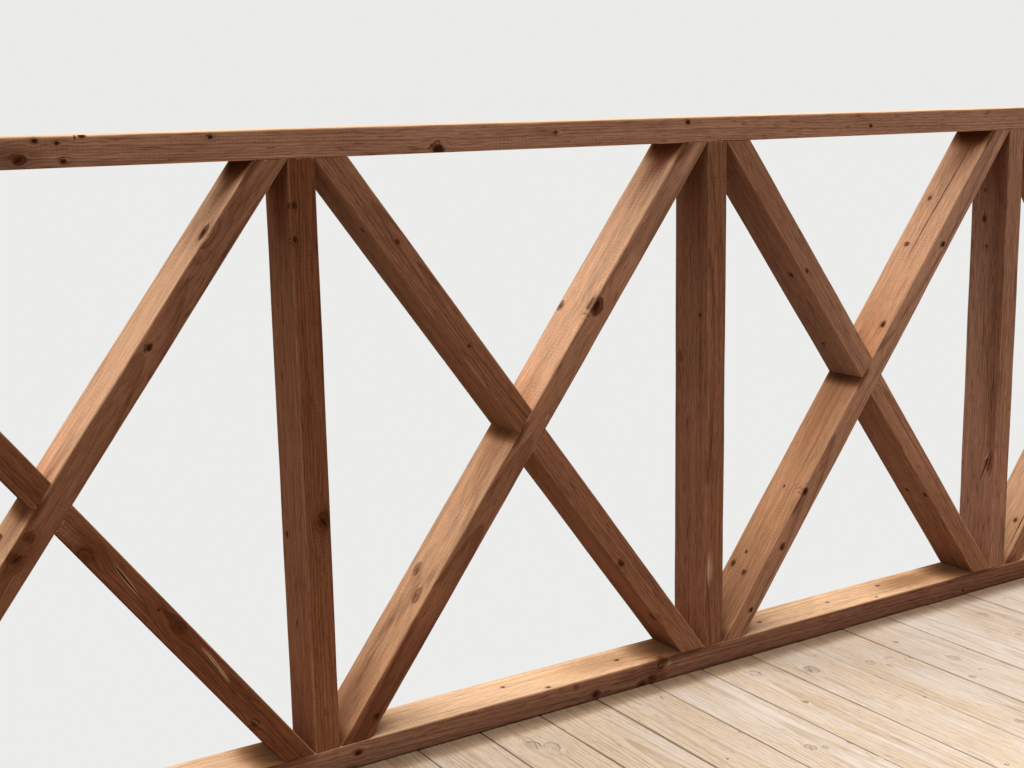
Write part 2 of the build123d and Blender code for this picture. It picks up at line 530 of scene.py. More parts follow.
def wood_colour(wires, wood, figure, weather):
    """One wood's colour, from its growth rings outwards to its wear, with the painted shade that its tone and
    its marks carry.
    """
    rings = wires.product(figure["Latewood"], wires.line(figure["Ring Tone"], 0.6, 0.4), wood.contrast)
    streak = wires.product(figure["Streak"], 1 - wood.fibres)
    light = wires.total(streak, wires.product(figure["Fibre"], wood.fibres))
    light = wires.line(light, 2 * wood.streaks, 1 - wood.streaks)
    clouds = wires.line(weather["Patch"], wood.clouds, 1 - 0.5 * wood.clouds)
    # Tone above 1, which comes mostly from the bands of painted shade in corners, darkens the wood further:
    # painted shade
    deep_tone_and_shade = wires.largest(wires.line(weather["Tone"], 1.0, -1.0), 0.0)
    light = wires.product(light, clouds, wires.line(weather["Cutter Mark"], -0.25, 1.0))
    light = wires.product(light, wires.line(deep_tone_and_shade, -0.2, 1.0))
    early = wires.mix(weather["Faded"], wood.early_wood, wood.faded)
    late = wires.mix(wires.product(weather["Faded"], 0.6), wood.late_wood, darker(wood.faded, 0.55))
    shade = wires.mix(rings, early, late)
    shade = wires.mix(wires.product(figure["Fleck"], 0.5), shade, wood.late_wood)
    # The tone darkens the wood towards the knot's colour; it carries staining and painted shade alike
    tint = tuple(0.2 + 0.8 * k / e for k, e in zip(wood.knot, wood.early_wood))
    shade = wires.mix(weather["Tone"], shade, tint, "MULTIPLY")
    shade = wires.mix(weather["Bleached"], shade, bleached_colour(wires, wood, rings, tint, weather))
    shade = knotted_colour(wires, wood, wires.scaled(shade, light), figure)
    rubbed = wires.product(weather["Worn Edge"], wires.line(weather["Tone"], -0.9, 1.0))
    shade = wires.mix(rubbed, shade, wood.worn)
    shade = wires.mix(wires.product(weather["End Grain"], 0.45), shade, wood.late_wood)
    shade = wires.mix(weather["Torn"], shade, wires.scaled(wood.raw, light))
    # Hairline checks and splits in knots are drawn dark, and so, as painted shade, are the insides of cut
    # checks and the gaps between boards
    opened = wires.largest(weather["Crack"], weather["Hairline"], figure["Split"])
    return wires.mix(wires.product(opened, 0.92), shade, darker(wood.late_wood, 0.16))


def new_material(name):
    """An empty material, with its wiring."""
    material = bpy.data.materials.new(name)
    material.use_nodes = True
    material.node_tree.nodes.clear()
    return material, Wiring(material.node_tree)


def wood_material(name, wood):
    """A wood with grain in depth, so that the rings run on over every edge and saw cut."""
    material, wires = new_material(name)
    figure = wires.use(
        shared_group("timber_figure", make_timber_figure),
        ring_width=wood.ring_width,
        waviness=wood.waviness,
        taper=wood.taper,
        fineness=wood.fineness,
    )
    weather = wires.use(
        shared_group("timber_weathering", make_timber_weathering_and_shade),
        edge_wear=wood.edge_wear,
        bleaching=wood.bleaching,
        checking=wood.checking,
        planing=wood.planing,
        fineness=wood.fineness,
    )
    surface = wires.node("ShaderNodeBsdfPrincipled")
    surface.inputs["Specular IOR Level"].default_value = wood.gloss
    wires.feed(surface.inputs["Base Color"], wood_colour(wires, wood, figure, weather))
    roughness = wires.line(figure["Latewood"], -0.1, wood.roughness)
    wires.feed(surface.inputs["Roughness"], wires.total(roughness, wires.product(weather["End Grain"], 0.15)))
    height = wires.total(
        wires.product(figure["Latewood"], 0.3),
        wires.product(figure["Fibre"], 0.6),
        wires.product(figure["Split"], -1.2),
    )
    wires.relief(surface, height, strength=0.6, depth=wood.relief)
    wires.show(surface.outputs["BSDF"])
    return material


def metal_material(name, metal, roughness):
    """Dull zinc or steel, clouded and spangled."""
    material, wires = new_material(name)
    place = wires.node("ShaderNodeTexCoord").outputs["Object"]
    cloud = wires.noise(place, (90.0, 90.0, 90.0), detail=3.0, roughness=0.6)
    grains = wires.node("ShaderNodeTexVoronoi")
    grains.inputs["Scale"].default_value = 260.0
    wires.feed(grains.inputs["Vector"], place)
    spangle = wires.split(grains.outputs["Color"])[0]
    lit = wires.total(wires.product(cloud, 0.6), wires.product(spangle, 0.3))
    surface = wires.node("ShaderNodeBsdfPrincipled")
    wires.feed(surface.inputs["Base Color"], wires.mix(lit, darker(metal, 0.62), tuple(metal)))
    wires.feed(surface.inputs["Metallic"], wires.step(cloud, 0.15, 0.4))
    wires.feed(surface.inputs["Roughness"], wires.line(cloud, 0.25, roughness))
    wires.relief(surface, cloud, strength=0.3, depth=0.0002)
    wires.show(surface.outputs["BSDF"])
    return material


def chosen_colours(settings):
    """The colours that a user may change in one group of settings, by name."""
    return {name: tuple(getattr(settings, name)) for name in WOOD_COLOURS}


def stained_timber():
    """The railing's red-brown stained pine."""
    settings = bpy.context.scene.railing
    return bpy.data.materials.get("stained_pine") or wood_material(
        "stained_pine",
        Wood(
            **chosen_colours(settings),
            ring_width=settings.ring_width,
            waviness=0.006,
            taper=0.006,
            contrast=0.65,
            streaks=1.0,
            edge_wear=0.55,
            bleaching=0.85,
            checking=0.35,
            roughness=0.56,
            relief=0.0004,
            gloss=0.0,
            fineness=1.0,
            planing=0.5,
            clouds=0.5,
            fibres=0.65,
            halo=tuple(settings.knot),
            knot_depth=0.25,
        ),
    )


def deck_timber():
    """The boards' bare weathered pine."""
    settings = bpy.context.scene.decking
    return bpy.data.materials.get("deck_pine") or wood_material(
        "deck_pine",
        Wood(
            **chosen_colours(settings),
            ring_width=settings.ring_width,
            waviness=0.006,
            taper=0.006,
            contrast=0.5,
            streaks=0.42,
            edge_wear=0.3,
            bleaching=0.8,
            checking=0.35,
            roughness=0.7,
            relief=0.0004,
            gloss=0.04,
            fineness=0.75,
            planing=0.0,
            clouds=0.12,
            fibres=0.8,
            halo=(0.86, 0.75, 0.65),
            knot_depth=0.05,
        ),
    )


def support_timber(name, early_wood, late_wood, bleaching):
    """The treated pine of the frame, or the rougher pine of the piles."""
    settings = bpy.context.scene.support
    return bpy.data.materials.get(name) or wood_material(
        name,
        Wood(
            early_wood=tuple(early_wood),
            late_wood=tuple(late_wood),
            knot=tuple(settings.knot),
            bleached=(0.46, 0.41, 0.33),
            bleached_late=(0.28, 0.23, 0.17),
            faded=(0.38, 0.35, 0.30),
            worn=(0.48, 0.41, 0.30),
            raw=(0.56, 0.46, 0.32),
            ring_width=settings.ring_width,
            waviness=0.007,
            taper=0.007,
            contrast=0.9,
            streaks=0.9,
            edge_wear=0.4,
            bleaching=bleaching,
            checking=1.0,
            roughness=0.78,
            relief=0.0007,
            gloss=0.04,
            fineness=0.6,
            planing=0.0,
            clouds=0.6,
            fibres=0.5,
            halo=tuple(settings.knot),
            knot_depth=0.25,
        ),
    )


def frame_timber():
    """The joists', end boards' and bearers' treated pine."""
    settings = bpy.context.scene.support
    return support_timber("treated_pine", settings.early_wood, settings.late_wood, 0.2)


def pile_timber():
    """The piles' weathered pine."""
    settings = bpy.context.scene.support
    return support_timber("pile_pine", settings.pile_early_wood, settings.pile_late_wood, 0.3)


# Timbers


class Timber:
    """A straight timber in its own axes: along its grain, across its width, through its depth.

    Left and right faces look against and with the width, front and back faces
    against and with the depth. A cut says how far an end runs along the grain
    for each metre across.
    """

    def __init__(self, start, along, across, length, width, depth, cuts=(0.0, 0.0), begins=0.0):
        self.start = np.array(start, float)
        self.along = np.array(along, float)
        self.across = np.array(across, float)
        self.through = np.cross(self.along, self.across)
        self.length = length
        self.width = width
        self.depth = depth
        self.cuts = cuts
        self.begins = begins

    def skew(self, u, v):
        """How far the end cuts shift a place along the grain."""
        part = (u - self.begins) / self.length
        return v * ((1 - part) * self.cuts[0] + part * self.cuts[1])

    def place(self, u, v, w):
        """Points in the model's frame, the end cuts taken into account."""
        u, v, w = (np.expand_dims(part, -1) for part in (u + self.skew(u, v), v, w))
        return self.start + u * self.along + v * self.across + w * self.through


FACES = {"right": (1, 0), "back": (0, 1), "left": (-1, 0), "front": (0, -1)}

Knot = namedtuple("Knot", "face along across radius dark")
Check = namedtuple("Check", "face begin end across_begin across_end width depth torn")
Hollow = namedtuple("Hollow", "face along across length height depth torn")
Chip = namedtuple("Chip", "arris along length size")
# A patch of darker tone on a face; it draws the wood's own tone round knots, and painted shade in corners and
# where timbers cross
ToneAndShade = namedtuple("ToneAndShade", "face along across length height tone")

# Tone on front and back, tone on the other two faces, and fading, each at a timber's start and end; the tones
# hold painted shade as well as staining
Stain = namedtuple("Stain", "front side faded")
# A look's last field is painted shade on the sides of a board, in the gaps between boards
Look = namedtuple("Look", "arris unevenness row_step column_step pith number stain soil", defaults=(0.0,))


def face_axes(face):
    """Outward direction of a face, and the direction round the section along it."""
    normal = np.array(FACES[face], float)
    return normal, np.array((-normal[1], normal[0]))


def spans(timber, face):
    """Half the breadth of a face, and its distance from the timber's middle."""
    across, through = timber.width / 2, timber.depth / 2
    return (through, across) if face in ("left", "right") else (across, through)


def turned(face, across):
    """A place across a face, measured the way round the section."""
    return across if face in ("right", "front") else -across


def fall(value, full, none):
    """1 up to full, 0 from none on, smooth between."""
    part = np.clip((np.abs(value) - full) / (none - full), 0, 1)
    return 1 - part * part * (3 - 2 * part)


def any_turn(dice):
    """An angle all round, by chance."""
    return dice.uniform(0, 6.28)


def waves(dice, u, turn, reach):
    """Slow unevenness from 0 to 1 along a timber and round its section."""
    total = np.zeros(np.broadcast(u, turn).shape)
    for size in (1.0, 0.7, 0.45):
        length = reach * size * dice.uniform(0.7, 1.3)
        twist = dice.choice((-1, 1)) * turn * dice.choice((1, 2, 3))
        total = total + size * np.sin(2 * math.pi * u / length + twist + any_turn(dice))
    return 0.5 + total / 4.3


def rough(dice, u, turn, size):
    """Quick unevenness from 0 to 1, as of torn wood."""
    total = np.zeros(np.broadcast(u, turn).shape)
    for _ in range(5):
        bearing = dice.uniform(0, math.pi)
        pace = 2 * math.pi / (size * dice.uniform(0.6, 1.6))
        onward = u * math.cos(bearing) + turn * math.sin(bearing)
        total = total + np.sin(pace * onward + any_turn(dice))
    return np.clip(0.5 + total / 6, 0, 1)


def drawn_mark(timber, mark):
    """A mark moved along the timber to the row of points that the end cuts bring to its place."""
    side = {"left": -timber.width / 2, "right": timber.width / 2}
    if isinstance(mark, Check):
        begin_v, end_v = side.get(mark.face, mark.across_begin), side.get(mark.face, mark.across_end)
        return mark._replace(
            begin=mark.begin - timber.skew(mark.begin, begin_v), end=mark.end - timber.skew(mark.end, end_v)
        )
    if isinstance(mark, Chip):
        v = timber.width / 2 * (1 if mark.arris in ("front", "right") else -1)
    else:
        v = side.get(mark.face, mark.across)
    return mark._replace(along=mark.along - timber.skew(mark.along, v))


# How far rows of points reach round the middle of a mark, as a share of its length, and their spacing
ROWS_AT = {Hollow: (0.6, 0.0025), Chip: (0.6, 0.0025), ToneAndShade: (0.55, 0.008)}
END_MARGIN = 0.001
CLOSEST_ROWS = 0.0008


def rows_along(timber, look, marks):
    """Places along a timber where its section is drawn, closer together at its marks."""
    first, last = timber.begins, timber.begins + timber.length
    runs = [np.linspace(first, last, max(3, round(timber.length / look.row_step) + 1))]
    for mark in marks:
        if isinstance(mark, Check):
            runs.append(np.arange(mark.begin, mark.end, look.row_step / 3))
        elif type(mark) in ROWS_AT:
            share, spacing = ROWS_AT[type(mark)]
            reach = share * mark.length
            runs.append(np.arange(mark.along - reach, mark.along + reach, spacing))
    rows = np.unique(np.concatenate(runs))
    rows = rows[(rows > first + END_MARGIN) & (rows < last - END_MARGIN)]
    rows = rows[np.concatenate([[True], np.diff(rows) > CLOSEST_ROWS])]
    return np.concatenate([[first], rows, [last]])


# Metres, for a drying check: how far it wanders, how near it comes to an arris, half its least gap,
# the breadth of its torn rim, where the wood is sound again, and the room that it needs on both sides
CHECK_WANDER = 0.0012
CHECK_MARGIN = 0.0025
CHECK_HAIR = 0.00015
CHECK_RIM = 0.0006
CHECK_SOUND = 0.0018
CHECK_ROOM = 0.004

# Metres that the lines of points along a timber stay apart
CLOSEST_LINES = 0.00005


def check_lines(dice, check, rows, guard):
    """The path of one drying check, and the lines of points that draw its sides and its bottom."""
    flat = np.zeros(len(rows))
    half = check.width / 2
    part = np.clip((rows - check.begin) / (check.end - check.begin), 0, 1)
    path = check.across_begin + part * (check.across_end - check.across_begin)
    path = turned(check.face, path) + CHECK_WANDER * (waves(dice, rows, 0.0, reach=0.12) - 0.5)
    path = np.clip(path, CHECK_MARGIN + half - guard, guard - CHECK_MARGIN - half)
    gape = np.sin(math.pi * part) ** 0.6 * (0.7 + 0.3 * waves(dice, rows, 0.0, reach=0.05))
    gap = np.maximum(CHECK_HAIR, half * gape)
    pale = check.torn * gape
    # The check's rims and its bottom are painted dark: painted shade inside the check
    rim = 0.7 * gape * (1 - check.torn)
    lines = []
    for side in (-1, 1):
        lines.append((path + side * gap, flat, rim, pale))
        lines.append((path + side * (gap + CHECK_RIM), flat, flat, pale))
        lines.append((path + side * (gap + CHECK_SOUND), flat, flat, flat))
    lines.append((path, check.depth * gape, np.minimum(1, gape * 3), flat))
    return path, lines


def face_columns(dice, timber, face, rows, look, marks):
    """Lines of points along one face: their place round the section, depth, painted shade and tornness.

    The lines are put in order again at every row, so that none crosses another.
    """
    half, _ = spans(timber, face)
    bite = max((m.size for m in marks if isinstance(m, Chip)), default=0.0)
    guard = half - 1.6 * look.arris - 0.001 - bite
    plain = np.linspace(-guard, guard, max(2, round(2 * guard / look.column_step) + 1))
    for mark in (m for m in marks if isinstance(m, (Hollow, ToneAndShade)) and m.face == face):
        if mark.height > 2 * half:
            continue
        middle = turned(face, mark.across)
        plain = plain[np.abs(plain - middle) > mark.height / 2]
        plain = np.concatenate([plain, middle + mark.height * np.linspace(-0.5, 0.5, 7)])
    flat = np.zeros(len(rows))
    lines = []
    for check in (m for m in marks if isinstance(m, Check) and m.face == face):
        path, drawn = check_lines(dice, check, rows, guard)
        plain = plain[(plain < path.min() - CHECK_ROOM) | (plain > path.max() + CHECK_ROOM)]
        lines += drawn
    plain = np.unique(np.clip(plain, -guard, guard))
    lines += [(np.full(len(rows), place), flat, flat, flat) for place in plain]
    kinds = [np.stack(kind, 1) for kind in zip(*lines)]
    order = np.argsort(kinds[0], axis=1, kind="stable")
    places, *values = (np.take_along_axis(kind, order, 1) for kind in kinds)
    least = CLOSEST_LINES * np.arange(places.shape[1])
    places = np.maximum.accumulate(places - least, axis=1) + least
    return list(zip(places.T, *(kind.T for kind in values)))


# A timber's points, a row to a section and a column to a line; out_v, out_w and arris have columns only
Outline = namedtuple("Outline", "v w out_v out_w arris deep crack torn")


def section(dice, timber, rows, look, marks):
    """The timber's outline at each row: places, outward directions, arrises, depths, painted shade in checks
    and tears.
    """
    turn_order = list(FACES)
    flat = np.zeros(len(rows))
    lines = []
    for index, face in enumerate(turn_order):
        normal, tangent = face_axes(face)
        _, off = spans(timber, face)
        for place, *values in face_columns(dice, timber, face, rows, look, marks):
            v, w = (normal[axis] * off + tangent[axis] * place for axis in (0, 1))
            lines.append((v, w, *normal, 0.0, *values))
        after, _ = face_axes(turn_order[(index + 1) % 4])
        _, off_after = spans(timber, turn_order[(index + 1) % 4])
        radius = look.arris * (0.75 + 0.5 * waves(dice, rows, 0.0, reach=0.3))
        for chip in (m for m in marks if isinstance(m, Chip) and m.arris == face):
            bite = chip.size * fall(rows - chip.along, 0.1 * chip.length, 0.5 * chip.length)
            radius = radius + bite * (0.6 + 0.4 * rough(dice, rows, 0.0, size=0.008))
        for degrees in (0, 30, 60, 90):
            c, s = math.cos(math.radians(degrees)), math.sin(math.radians(degrees))
            lean = c * normal + s * after
            v, w = (
                normal[axis] * (off - radius) + after[axis] * (off_after - radius) + lean[axis] * radius
                for axis in (0, 1)
            )
            lines.append((v, w, *lean, 1.0 if degrees in (30, 60) else 0.45, flat, flat, flat))
    outline = Outline(*zip(*lines))
    by_row = {name: np.stack(getattr(outline, name), 1) for name in ("v", "w", "deep", "crack", "torn")}
    by_line = {name: np.array(getattr(outline, name)) for name in ("out_v", "out_w", "arris")}
    return Outline(**by_row, **by_line)


def off_mark(timber, mark, v, w):
    """How far points lie beside a mark, across its face, and how far under that face."""
    normal, tangent = face_axes(mark.face)
    _, off = spans(timber, mark.face)
    beside = tangent[0] * v + tangent[1] * w - turned(mark.face, mark.across)
    below = off - normal[0] * v - normal[1] * w
    return beside, below


# Metres along a timber over which a knot bends the grain, at most and at least, and the room between two
KNOT_REACH, LEAST_KNOT_REACH, KNOT_ROOM = 0.055, 0.008, 0.006


def knot_values(timber, u, v, w, knots):
    """For each point, its place in the nearest knot of two alternating sets, and the grain's bend there."""
    values = {}
    ordered = sorted(knots, key=lambda knot: knot.along)
    for name, chosen in (("knot_a", ordered[0::2]), ("knot_b", ordered[1::2])):
        place, bend = np.zeros((len(u), 3)), np.zeros((len(u), 3))
        if chosen:
            away = np.abs(u[:, None] - np.array([knot.along for knot in chosen]))
            nearest = away.argmin(1)
        for index, knot in enumerate(chosen):
            others = [abs(knot.along - other.along) for other in chosen if other is not knot]
            limit = max(LEAST_KNOT_REACH, min([KNOT_REACH] + [gap / 2 - KNOT_ROOM for gap in others]))
            _, tangent = face_axes(knot.face)
            beside, below = off_mark(timber, knot, v, w)
            reach = fall(u - knot.along, 0.6 * limit, limit) * fall(beside, 0.03, 0.06)
            reach = reach * fall(below, 0.001, 0.03)
            here = nearest == index
            place[here, 0] = (u[here] - knot.along) / (1.3 * knot.radius)
            place[here, 1] = beside[here] / knot.radius
            place[here, 2] = reach[here]
            bend[here] = (tangent[0] * knot.radius, tangent[1] * knot.radius, knot.dark)
        values[name], values[name + "_bend"] = place, bend
    return values


def strip(rows, columns):
    """Faces of a grid of points that closes on itself round the section."""
    faces = []
    for row in range(rows - 1):
        low, high = row * columns, (row + 1) * columns
        for column in range(columns):
            after = (column + 1) % columns
            faces.append((low + column, low + after, high + after, high + column))
    return faces


class Skin:
    """Points, faces and surface values of one object, gathered timber by timber."""

    VECTORS = ("grain", "knot_a", "knot_a_bend", "knot_b", "knot_b_bend", "marks", "finish")

    def __init__(self):
        self.points = []
        self.faces = []
        self.values = {name: [] for name in self.VECTORS}
        self.count = 0

    def add(self, points, faces, **values):
        """Adds points with their values; a value that isn't given is zero."""
        self.faces += [tuple(self.count + corner for corner in face) for face in faces]
        self.points.append(points)
        for name in self.VECTORS:
            self.values[name].append(values.get(name, np.zeros((len(points), 3))))
        self.count += len(points)

    def add_log(self, points, grain, marks, finish, **knots):
        """Adds rows of points round a timber, and saw cuts that close its ends and show no tears."""
        rows, columns = points.shape[:2]
        values = {"grain": grain, "marks": marks, "finish": finish}
        values = {name: value.reshape(-1, 3) for name, value in values.items()}
        self.add(points.reshape(-1, 3), strip(rows, columns), **values, **knots)
        sawn = np.zeros((columns, 3))
        sawn[:, 1] = 1.0
        for row, order in ((0, range(columns - 1, -1, -1)), (-1, range(columns))):
            whole = finish[row] * (1, 0, 1)
            self.add(points[row], [tuple(order)], grain=grain[row], marks=sawn, finish=whole)

    def build(self, name, material, slot, *nodes):
        """Makes the object, rides it on the deck and lets it stand for the nodes that it draws."""
        mesh = bpy.data.meshes.new(name)
        mesh.from_pydata(np.concatenate(self.points), [], self.faces)
        for value_name, parts in self.values.items():
            attribute = mesh.attributes.new(value_name, "FLOAT_VECTOR", "POINT")
            attribute.data.foreach_set("vector", np.concatenate(parts).astype(np.float32).ravel())
        mesh.polygons.foreach_set("use_smooth", [len(face) < 5 for face in self.faces])
        mesh.materials.append(material)
        piece = bpy.data.objects.new(name, mesh)
        bpy.context.scene.collection.objects.link(piece)
        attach(piece, "root")
        if nodes:
            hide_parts(*nodes)
        return piece


# Metres of grain between one timber's place in the wood and the next one's, and the number that the
# places of each kind of timber are counted from
LOG_SPACING = 10.0
LONG_BRACE_LOGS, SHORT_BRACE_LOGS, RAIL_LOGS, BOARD_LOGS = 20, 40, 60, 100
JOIST_LOGS, END_BOARD_LOGS, BEARER_LOGS, PILE_LOGS = 200, 210, 220, 240


def near(mark, along, beside, full):
    """1 up to a share of a mark's size from its middle, and 0 from half its size on."""
    return fall(np.hypot((along - mark.along) / mark.length, beside / mark.height), full, 0.5)


def hollowed(dice, timber, hollow, u, along, v, w):
    """How deep a hollow is at each point, and how torn its wood is."""
    beside, below = off_mark(timber, hollow, v, w)
    spot = near(hollow, along, beside, 0.15) * fall(below, 0.004, 0.009)
    return hollow.depth * spot * (0.4 + 0.6 * rough(dice, u, beside, size=0.012)), hollow.torn * spot


def stain_and_shade_values(timber, look, tones_and_shades, u, along, v, w, sideways):
    """Tone and fading at each point, from the timber's staining, which holds painted shade too, and from its
    patches of tone and painted shade.
    """
    part = (u - timber.begins) / timber.length
    front, side, faded = (pair[0] + part * (pair[1] - pair[0]) for pair in look.stain)
    tone = front + sideways * (side - front)
    for tone_and_shade in tones_and_shades:
        beside, below = off_mark(timber, tone_and_shade, v, w)
        tone = tone + tone_and_shade.tone * near(tone_and_shade, along, beside, 0.1) * fall(below, 0.003, 0.012)
    return tone, faded


def add_timber(skin, timber, look, marks, seed):
    """Adds one timber with its faces, arrises, saw cuts and marks."""
    dice = random.Random(seed)
    drawn = [drawn_mark(timber, mark) for mark in marks]
    rows = rows_along(timber, look, drawn)
    outline = section(dice, timber, rows, look, drawn)
    v, w, torn = outline.v, outline.w, outline.torn
    u = np.repeat(rows[:, None], v.shape[1], 1)
    along = u + timber.skew(u, v)
    turn = np.arctan2(outline.out_w, outline.out_v)[None, :]
    deep = outline.deep + look.unevenness * waves(dice, u, turn, reach=0.9)
    for hollow in (m for m in marks if isinstance(m, Hollow)):
        depth, tears = hollowed(dice, timber, hollow, u, along, v, w)
        deep = deep + depth
        torn = np.maximum(torn, tears)
    v, w = v - outline.out_v * deep, w - outline.out_w * deep

    bends = [0.004 * (waves(dice, rows, 0.0, reach=1.3)[:, None] - 0.5) * 2 for _ in look.pith]
    heart = [place + bend for place, bend in zip(look.pith, bends)]
    grain = np.stack([along + LOG_SPACING * look.number, v - heart[0], w - heart[1]], -1)
    knots = [m for m in marks if isinstance(m, Knot)]
    knots = knot_values(timber, along.ravel(), v.ravel(), w.ravel(), knots)
    sideways = outline.out_v[None, :] ** 2
    arris = np.broadcast_to(outline.arris, u.shape)
    # Painted shade inside the checks, and on a board's sides in the gaps between boards
    crack_and_gap_shade = np.maximum(outline.crack, look.soil * sideways)
    tones_and_shades = [m for m in marks if isinstance(m, ToneAndShade)]
    tone, faded = stain_and_shade_values(timber, look, tones_and_shades, u, along, v, w, sideways)
    skin.add_log(
        timber.place(u, v, w),
        grain,
        np.stack([arris, np.zeros(u.shape), crack_and_gap_shade], -1),
        np.stack([tone, torn, faded], -1),
        **knots,
    )


def add_fibres(skin, timber, look, face, end, count, seed):
    """Adds fibres torn out by the saw where a face meets an end cut."""
    dice = random.Random(seed)
    half, off = spans(timber, face)
    normal, tangent = face_axes(face)
    side = -1 if end == "begin" else 1
    edge = timber.begins if end == "begin" else timber.begins + timber.length
    faces = [(0, 1, 3), (1, 2, 3), (2, 0, 3)]
    for _ in range(count):
        place = dice.uniform(-0.92, 0.92) * half
        breadth = dice.uniform(0.0003, 0.0008)
        length = dice.uniform(0.0015, 0.005)
        lift = dice.uniform(0.1, 0.3)
        root, tip = edge - side * 0.002, edge + side * length * 0.6
        u = np.array([root, root, root, tip])
        beside = np.array([place - breadth, place + breadth, place, place + dice.uniform(-1, 1) * 0.001])
        above = np.array([-0.0004, -0.0004, 0.0003, length * lift]) + off - look.unevenness
        v, w = normal[0] * above + tangent[0] * beside, normal[1] * above + tangent[1] * beside
        grain = np.stack([u + LOG_SPACING * look.number, v - look.pith[0], w - look.pith[1]], -1)
        finish = np.tile((0.0, dice.uniform(0.3, 1.0), 0.0), (4, 1))
        skin.add(timber.place(u, v, w), faces, grain=grain, finish=finish)


# Knots, checks, saw marks and patches of tone and painted shade where the railing shows them; lengths in
# millimetres


def in_metres(*lengths):
    """Millimetres as metres."""
    return [length / 1000 for length in lengths]


def knot(face, along, across, radius, dark=0.3):
    return Knot(face, *in_metres(along, across, radius), dark)


def check(face, begin, end, across_begin, across_end, width=1.4, depth=5.0, torn=0.0):
    return Check(face, *in_metres(begin, end, across_begin, across_end, width, depth), torn)


def hollow(face, along, across, length, height, depth, torn=0.0):
    return Hollow(face, *in_metres(along, across, length, height, depth), torn)


def chip(arris, along, length, size):
    return Chip(arris, *in_metres(along, length, size))


# A patch of darker tone, lengths in millimetres: round knots the wood's own tone, in corners and at crossings
# painted shade
def tone_and_shade(face, along, across, length, height, tone):
    return ToneAndShade(face, *in_metres(along, across, length, height), tone)


def shade(face, along, length, tone):
    """A band of painted shade right across a face; lengths in metres."""
    return ToneAndShade(face, along, 0.0, length, 1.0, tone)


def even_stain(tone, faded=0.0):
    """A stain that is the same all over."""
    return Stain((tone, tone), (tone, tone), (faded, faded))


POST_MARKS = {
    2: [
        knot("front", 389, 8, 10, 0.6),
        tone_and_shade("front", 389, 6, 80, 40, 0.6),
        knot("left", 354, 27, 4, 0.7),
        knot("front", 890, -16, 4.5, 0.7),
        knot("front", 838, -17, 4.5, 0.7),
        check("front", 782, 832, -13, -12, 1.8, 4),
        check("front", 850, 884, -13, -12, 1.2, 3, 0.3),
        knot("left", 209, 4, 3, 0.7),
        check("left", 700, 945, 44, 45.5, 0.8, 3),
    ],
    3: [
        knot("left", 643, -27, 3.5, 0.7),
        knot("left", 554, 32, 7, 0.2),
        hollow("front", 154, -14, 90, 7, 0.6, 0.7),
        check("front", 330, 560, -14, -13, 0.7, 3),
    ],
    4: [
        knot("left", 232, -27, 10, 0.0),
        check("left", 190, 274, -6, -38, 4.6, 5),
        check("left", 204, 266, -22, -40, 3.4, 5),
        knot("left", 770, 12, 6, 0.5),
        check("left", 752, 792, 8, 13, 2.0, 4),
        check("left", 380, 690, -1, 4, 0.9, 3),
        knot("left", 712, 2, 3, 0.6),
        knot("left", 832, 12, 3.5, 0.5),
        tone_and_shade("left", 560, -36, 1300, 30, 0.7),
    ],
}

LONG_BRACE_MARKS = {
    1: [
        knot("front", 866, -6, 4.5, 0.9),
        knot("left", 520, 20, 12, 0.4),
        knot("left", 1054, -30, 11, 0.5),
        check("left", 1036, 1064, -35, -22, 2.4, 4),
        check("front", 1034, 1070, -12, -10, 1.6, 3),
        chip("left", 1052, 40, 2.5),
        # Partly greyer wood, partly painted shade below the top rail
        tone_and_shade("left", 1085, -10, 110, 40, 0.6),
        knot("front", 512, -8, 13, 0.4),
        knot("front", 548, -9, 8, 0.3),
        check("front", 498, 524, -12, -2, 2.2, 4),
        tone_and_shade("front", 522, -4, 110, 50, 0.7),
        # Painted shade where the short braces meet this brace
        tone_and_shade("left", 545, 0, 200, 120, 0.8),
    ],
    2: [
        knot("front", 845, -13, 13, 0.65),
        check("front", 823, 836, -9, 5, 1.6, 3),
        check("left", 828, 850, -37, -32, 1.8, 4),
        # Painted shade where the short braces meet this brace, and at its foot
        tone_and_shade("left", 560, 0, 380, 120, 0.7),
        tone_and_shade("left", 60, 0, 200, 120, 0.4),
        check("left", 824, 836, 44, 28, 2.0, 3),
        knot("left", 829, 40, 8, 0.3),
        knot("left", 297, 21, 9, 0.12),
        knot("left", 257, -19, 10, 0.12),
        knot("front", 53, 10, 4.5, 0.9),
        hollow("front", 651, 6, 22, 3, 0.8, 1.0),
        hollow("front", 634, 11, 16, 2.5, 0.7, 1.0),
        check("left", 590, 760, 6, 1, 0.7, 3),
        check("left", 283, 301, 14, 19, 1.6, 3),
        check("left", 232, 272, -27, -8, 1.2, 3),
    ],
    3: [
        check("left", 838, 1165, 1.5, -12, 3.8, 10),
        hollow("left", 922, 12, 44, 26, 0.9, 0.5),
        knot("left", 896, 20, 6, 0.4),
        knot("left", 1010, 24, 5, 0.4),
        # Painted shade where the short braces meet this brace
        tone_and_shade("left", 560, 0, 560, 120, 0.7),
        knot("front", 918, 3, 5, 0.9),
        knot("front", 323, -16, 6, 0.8),
        tone_and_shade("front", 288, -16, 70, 16, 0.8),
        check("left", 318, 331, -26, -42, 1.6, 3),
        knot("left", 319, 4, 2.5, 0.6),
        knot("front", 205, 0, 6, 0.6),
        knot("front", 66, 5, 4, 0.9),
        knot("left", 706, -28, 6, 0.6),
        knot("left", 166, 12, 3, 0.6),
        knot("left", 135, 30, 6, 0.5),
        knot("left", 126, -8, 6, 0.4),
    ],
    4: [knot("left", 90, -21, 5, 0.5), check("left", 5, 170, -39, -38, 4.0, 6)],
}

